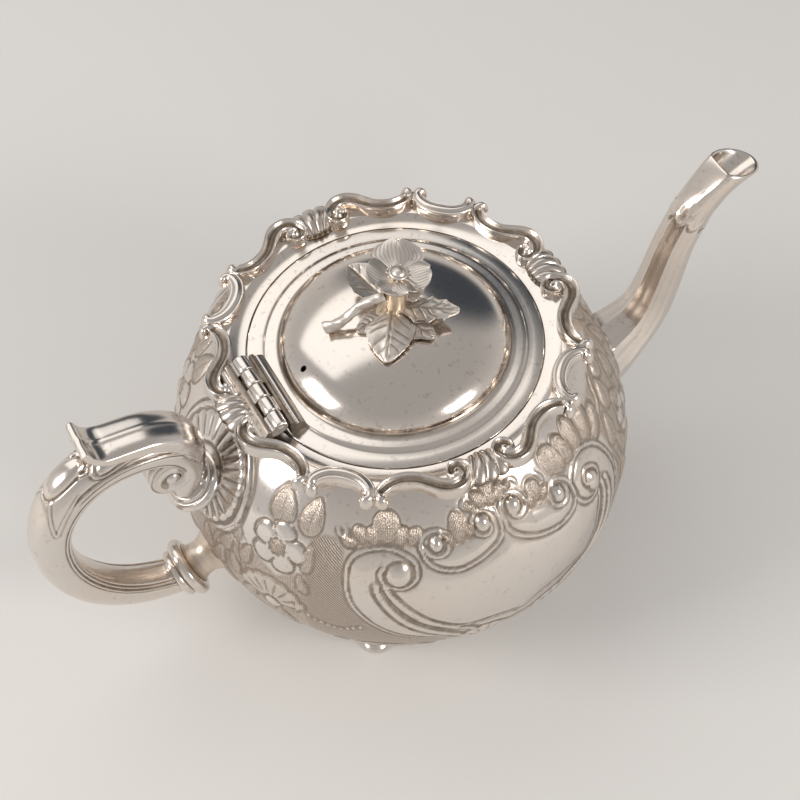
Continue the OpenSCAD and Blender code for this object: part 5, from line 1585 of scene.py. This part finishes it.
leaves = {
    "leafLeft": {"node": "leaf_left", "turn": 104, "tier": 1, "length": 18.5, "half": 6.6, "droop": 1.8,
                 "fold": -0.42, "lobes": 0, "bend": 0.3},
    "leafUnderTwig": {"node": "leaf_under_twig", "turn": 182, "tier": 0, "length": 11.0, "half": 4.2,
                      "droop": -1.2, "fold": 0.25, "lobes": 0, "bend": 0.0},
    "leafFront": {"node": "leaf_front", "turn": -125, "tier": 1, "length": 16.8, "half": 7.4, "droop": -4.4,
                  "fold": 0.2, "lobes": 0, "bend": 0.6},
    "leafLobed": {"node": "leaf_lobed", "turn": -67, "tier": 0, "length": 14.2, "half": 6.0, "droop": -0.8,
                  "fold": 0.1, "lobes": 3, "bend": 0.3},
    "leafRight": {"node": "leaf_right", "turn": -36, "tier": 1, "length": 19.0, "half": 5.8, "droop": 0.4,
                  "fold": 0.15, "lobes": 4, "bend": 0.8},
    "leafBack": {"node": "leaf_back", "turn": 14, "tier": 2, "length": 11.5, "half": 4.6, "droop": 1.0,
                 "fold": 0.25, "lobes": 0, "bend": 0.4},
}


leafRelief = {"teeth": 0.05, "lobeCut": 0.26, "sideVein": 0.18, "midVein": 0.3, "quilt": 0.30, "cast": 0.12}


def addLeaf(name, leaf):
    tier = finial["apex"] + finial["sheet"] + 0.9 + leaf["tier"] * (finial["sheet"] + 1.5)
    turn = math.radians(leaf["turn"])

    def point(u, v):
        uneven = turn * 3 + np.sign(v) * 1.3
        serrate = leafRelief["teeth"] * np.abs(((u * 8 + 0.5 * np.sin(u * 6 + uneven)) % 1) - 0.5) * 2
        lobes = leaf["lobes"]
        cutBack = leafRelief["lobeCut"] * np.abs(np.sin(math.pi * lobes * u)) ** 0.7 if lobes else 0
        outline = np.sin(math.pi * np.clip(u, 0, 1) ** 0.75) ** 0.75
        width = leaf["half"] * outline * (1 - cutBack - serrate) + 0.35
        mid = finial["stemRadius"] - 1.2 + leaf["length"] * u
        rise = tier + leaf["droop"] * u * u
        across = v * width
        veins = np.abs(((u * 5.2 - np.abs(v) * 1.1 + 0.22 * np.sin(u * 9 + uneven)) % 1) - 0.5) * 2
        out = np.abs(v)
        sideVein = np.exp(-(veins / 0.2) ** 2) * smoothstep(0.05, 0.2, out) * smoothstep(1.0, 0.7, out)
        midVein = np.exp(-(across / 0.45) ** 2) * smoothstep(1.0, 0.8, u)
        quilt = leafRelief["quilt"] * np.sin(math.pi * veins * 0.5) * (1 - out) * np.sin(math.pi * u)
        cast = leafRelief["cast"] * np.sin(u * 11 + v * 4 + uneven) * np.sin(u * 7 - v * 6)
        curl = leaf["bend"] * np.sin(u * 7.0 + v * 2.4) * 0.45 * out ** 1.5 + cast
        z = rise - leaf["fold"] * np.abs(across) - leafRelief["sideVein"] * sideVein * np.sin(math.pi * u)
        z = z - leafRelief["midVein"] * midVein + quilt + curl
        # the leaf never sinks into the dome
        reach = np.hypot(mid, across)
        fall = (reach / dome["radius"]) ** 2.1
        under = finial["apex"] - dome["height"] * (1 - np.clip(1 - fall, 0, 1) ** 0.55)
        z = np.maximum(z, under + finial["sheet"] + 0.15)
        x = mid * math.cos(turn) - across * math.sin(turn)
        y = mid * math.sin(turn) + across * math.cos(turn)
        return np.stack([x, y, z], -1), 0.4 * np.maximum(sideVein, midVein) + 0.08

    sheetLeaf(name, point, *finial["leafGrid"], finial["sheet"], leafSilver, "leaves", (leaf["node"],))


petals = {
    # turn round the stem, length, half width, rise, notch
    "petalBack": (64, 12.4, 8.8, 3.2, 0.16), "petalRight": (-18, 9.8, 7.0, 2.2, 0.06),
    "petalLeft": (140, 9.6, 6.8, 2.4, 0.08), "petalNear": (-92, 7.6, 6.4, 1.4, 0.05),
    "petalLow": (-160, 8.2, 6.2, 1.6, 0.05),
}


def addBlossom():
    place = onStem(finial["stem"])
    for number, (name, (turn, length, half, rise, notch)) in enumerate(petals.items()):
        a = math.radians(turn)

        def point(u, v):
            w = half * np.sin(math.pi * (0.10 + 0.80 * u)) ** 0.5 * (0.3 + 0.7 * smoothstep(0, 0.6, u))
            reach = 0.8 + length * u * (1 - notch * np.exp(-(v / 0.22) ** 2) * u) * (1 - 0.10 * v * v * u)
            lift = 0.5 + rise * u ** 1.7 - 0.9 * np.abs(v) ** 2.5 * u + 0.35 * np.sin(v * 4.5 + turn) * u
            rays = np.abs(((v * 6.5 + 0.5 * np.sin(u * 4 + number * 2)) % 1) - 0.5) * 2
            vein = np.exp(-(rays / 0.4) ** 2) * smoothstep(0.2, 0.5, u) * smoothstep(1.02, 0.8, u)
            z = lift - 0.10 * vein + 0.07 * np.sin(u * 6 + v * 8 + number)
            x = reach * math.cos(a) - v * w * math.sin(a)
            y = reach * math.sin(a) + v * w * math.cos(a)
            flat = np.stack([x, y, z - 0.32 * number * u], -1)
            return place(flat.reshape(-1, 3)).reshape(flat.shape), 0.3 * vein + 0.06

        sheetLeaf(name, point, *finial["petalGrid"], finial["sheet"] * 0.9, leafSilver, "blossom",
                  ("blossom",) if number == 0 else ())
    eye = [(0, 0.2), (2.9, 0.3), (3.3, 0.8), (3.1, 1.25), (2.7, 1.4), (2.45, 1.25), (2.2, 1.4), (1.7, 2.0),
           (0.9, 2.35), (0, 2.45)]
    turned("blossomEye", rounded(eye, 4, 0.3), lidBody, "blossom", leafSilver, ("blossom_eye",),
           steps=48, sharp=60, place=onStem(finial["stem"] + 0.6))
    stamen = [(0, -0.4), (0.3, -0.2), (0.4, 0.1), (0.3, 0.35), (0, 0.45)]
    stamen = plainObject("stamens", *turnedShape(stamen, 10))
    count = finial["stamens"]
    copiesRound(stamen, leafSilver, count, between=360 / count, radius=3.7, height=1.25)
    points = np.array([v.co[:] for v in stamen.data.vertices]) / mm
    shifted = onStem(finial["stem"])(points)
    stamen.data.vertices.foreach_set("co", (shifted * mm).astype(np.float32).ravel())
    finish(stamen, lidBody, leafSilver, sharp=60)


def addStem():
    profile = [(0, -1.5), (6.2, -1.5), (6.0, 0.2), (5.2, 1.2), (4.5, 2.6), (4.05, 4.6), (3.9, 6.5),
               (3.95, 10.0), (4.2, 14.4), (4.7, 17.0), (4.9, 18.2), (3.0, 18.8), (0, 18.9)]
    points, faces = turnedShape(rounded(profile, 4, 0.5), 132)
    points = fluted(points, count=11, deep=0.35, low=1.6, high=17.0)
    meshObject("finialStem", onStem()(points), faces, lidBody, "gilt", gilt, ("finial_stem",), sharp=60)


# rows are distance from the axis, height and radius
twig = {
    "turn": 165,
    "rows": [(2.6, 134.6, 1.6), (5.6, 133.9, 1.6), (9, 132.2, 1.7), (12.5, 129.6, 1.6), (16, 127.2, 1.65),
             (19.5, 125.4, 1.8), (22.8, 123.9, 2.1)],
}


def addTwig():
    rows = smoothRows(twig["rows"], 10)
    d = headings(rows[:, :2])
    a = np.linspace(0, tau, 36, endpoint=False)
    knots = 0.08 * np.sin(3 * a[None, :] + rows[:, :1] * 0.7)
    knots = knots + 0.06 * np.sin(rows[:, :1] * 1.9 + 2 * a[None, :])
    r = rows[:, 2:3] * (1 + knots)
    wander = 0.5 * np.sin(rows[:, :1] * 0.45)
    n, y = np.cos(a)[None, :] * r, np.sin(a)[None, :] * r + wander
    x, z = rows[:, :1] - d[:, 1:2] * n, rows[:, 1:2] + d[:, :1] * n
    turn = math.radians(twig["turn"])
    cosine, sine = math.cos(turn), math.sin(turn)
    rings = np.stack([x * cosine - y * sine, x * sine + y * cosine, z], -1)
    points, faces = closedGrid(rings, True)
    meshObject("cutTwig", points, faces, lidBody, "leaves", leafSilver, ("twig",), sharp=60)


for leafName, leafShape in leaves.items():
    addLeaf(leafName, leafShape)
addStem()
addBlossom()
addTwig()
print("the finial is cast")

# axis (x, z), length, and the profiles (x, z) of the block on the rim and of the leaf on the lid
hinge = {
    "axis": (-49.5, 114.3), "long": 31.0, "knuckles": 5, "radius": 2.7, "gap": 0.2, "relief": 3.1,
    "pin": 0.9,
    "block": [(-57.3, 107.3), (-57.6, 111.9), (-57.45, 112.7), (-56.9, 113.25), (-56.1, 113.35),
              (-55.4, 113.0), (-55.1, 112.6), (-54.95, 113.5), (-54.6, 114.5), (-53.9, 115.05),
              (-53.1, 114.95), (-52.65, 114.3), (-52.62, 107.3)],
    "leaf": [(-46.38, 108.0), (-46.38, 114.0), (-46.2, 114.6), (-45.6, 114.95), (-44.8, 114.75),
             (-44.3, 114.1), (-44.1, 113.2), (-43.8, 113.0), (-43.2, 112.95), (-42.2, 112.6),
             (-41.2, 111.9), (-40.9, 111.2), (-40.9, 108.0)],
}


def hingeBar(profile, low, high, bevel=0.35):
    # bar along the hinge with bevelled ends
    p = np.vstack([rounded(profile, 4, 0.3), profile[:1]])[:-1]
    middle = p.mean(0)
    out = p - middle
    reach = np.linalg.norm(out, axis=1, keepdims=True)
    rings = []
    for y, cut in ((low, bevel), (low + 0.1, 0.4 * bevel), (low + bevel, 0), (high - bevel, 0),
                   (high - 0.1, 0.4 * bevel), (high, bevel)):
        at = middle + out * (1 - cut / np.maximum(reach, 1.0))
        rings.append(np.stack([at[:, 0], np.full(len(at), y), at[:, 1]], -1))
    return closedGrid(np.array(rings), True)


def ontoHinge(points):
    # lays a turned shape along the hinge
    x, z = hinge["axis"]
    return np.stack([x + points[:, 0], points[:, 2], z - points[:, 1]], -1)


def knuckle(number):
    share = hinge["long"] / hinge["knuckles"]
    low = -hinge["long"] / 2 + number * share + hinge["gap"] / 2
    high = low + share - hinge["gap"]
    r, (x, z) = hinge["radius"], hinge["axis"]
    profile = [(0, low), (r - 0.35, low), (r, low + 0.3), (r, high - 0.3), (r - 0.35, high), (0, high)]
    points, faces = turnedShape(rounded(profile, 3, 0.2), 64)
    barrel = (ontoHinge(points), faces)
    toward = 1 if number % 2 else -1
    edge = hinge["relief"] + 0.4
    web = [(x + toward * a, z + b) for a, b in [(edge, -r), (edge, 0.2), (1.6, 1.6), (0, 1.2), (0, -r)]]
    return [barrel, hingeBar(web[::toward], low + 0.02, high - 0.02, 0.12)]


def addHinge():
    half = hinge["long"] / 2
    outer = [hingeBar(hinge["block"], -half, half)]
    inner = [hingeBar(hinge["leaf"], -half, half)]
    for number in range(hinge["knuckles"]):
        (inner if number % 2 else outer).extend(knuckle(number))
    meshObject("hingeBlock", *joined(outer), pot, "hinge", handleSilver, ("hinge_block",), sharp=38)
    meshObject("hingeLeaf", *joined(inner), lidBody, "hinge", handleSilver, ("lid_leaf",), sharp=38)
    r = hinge["pin"]
    pin = [(0, -half - 0.25), (r * 0.8, -half - 0.15), (r, -half + 0.2), (r, half - 0.2),
           (r * 0.8, half + 0.15), (0, half + 0.25)]
    turned("hingePin", pin, pot, "hinge", castSilver, ("hinge_pin",), steps=40, sharp=50,
           place=ontoHinge)


addHinge()
print("the hinge is set")

# the nodes that keep their own shape get the same finishes
plainMaterials = {
    **dict.fromkeys(("spout", "handle", "collars", "hinge", "body"), handleSilver),
    **dict.fromkeys(("base", "gallery", "bezel"), sheetSilver),
    **dict.fromkeys(("feet", "rim"), castSilver),
    **dict.fromkeys(("blossom", "leaves"), leafSilver),
    "lid": lidSilver, "gilt": gilt, "nut": brass,
}
slotOf = {part["node"]: part["material_slot"] for part in frame["record"]["subparts"]}
for name, node in nodes.items():
    node.data.materials.clear()
    node.data.materials.append(plainMaterials[slotOf[name]])
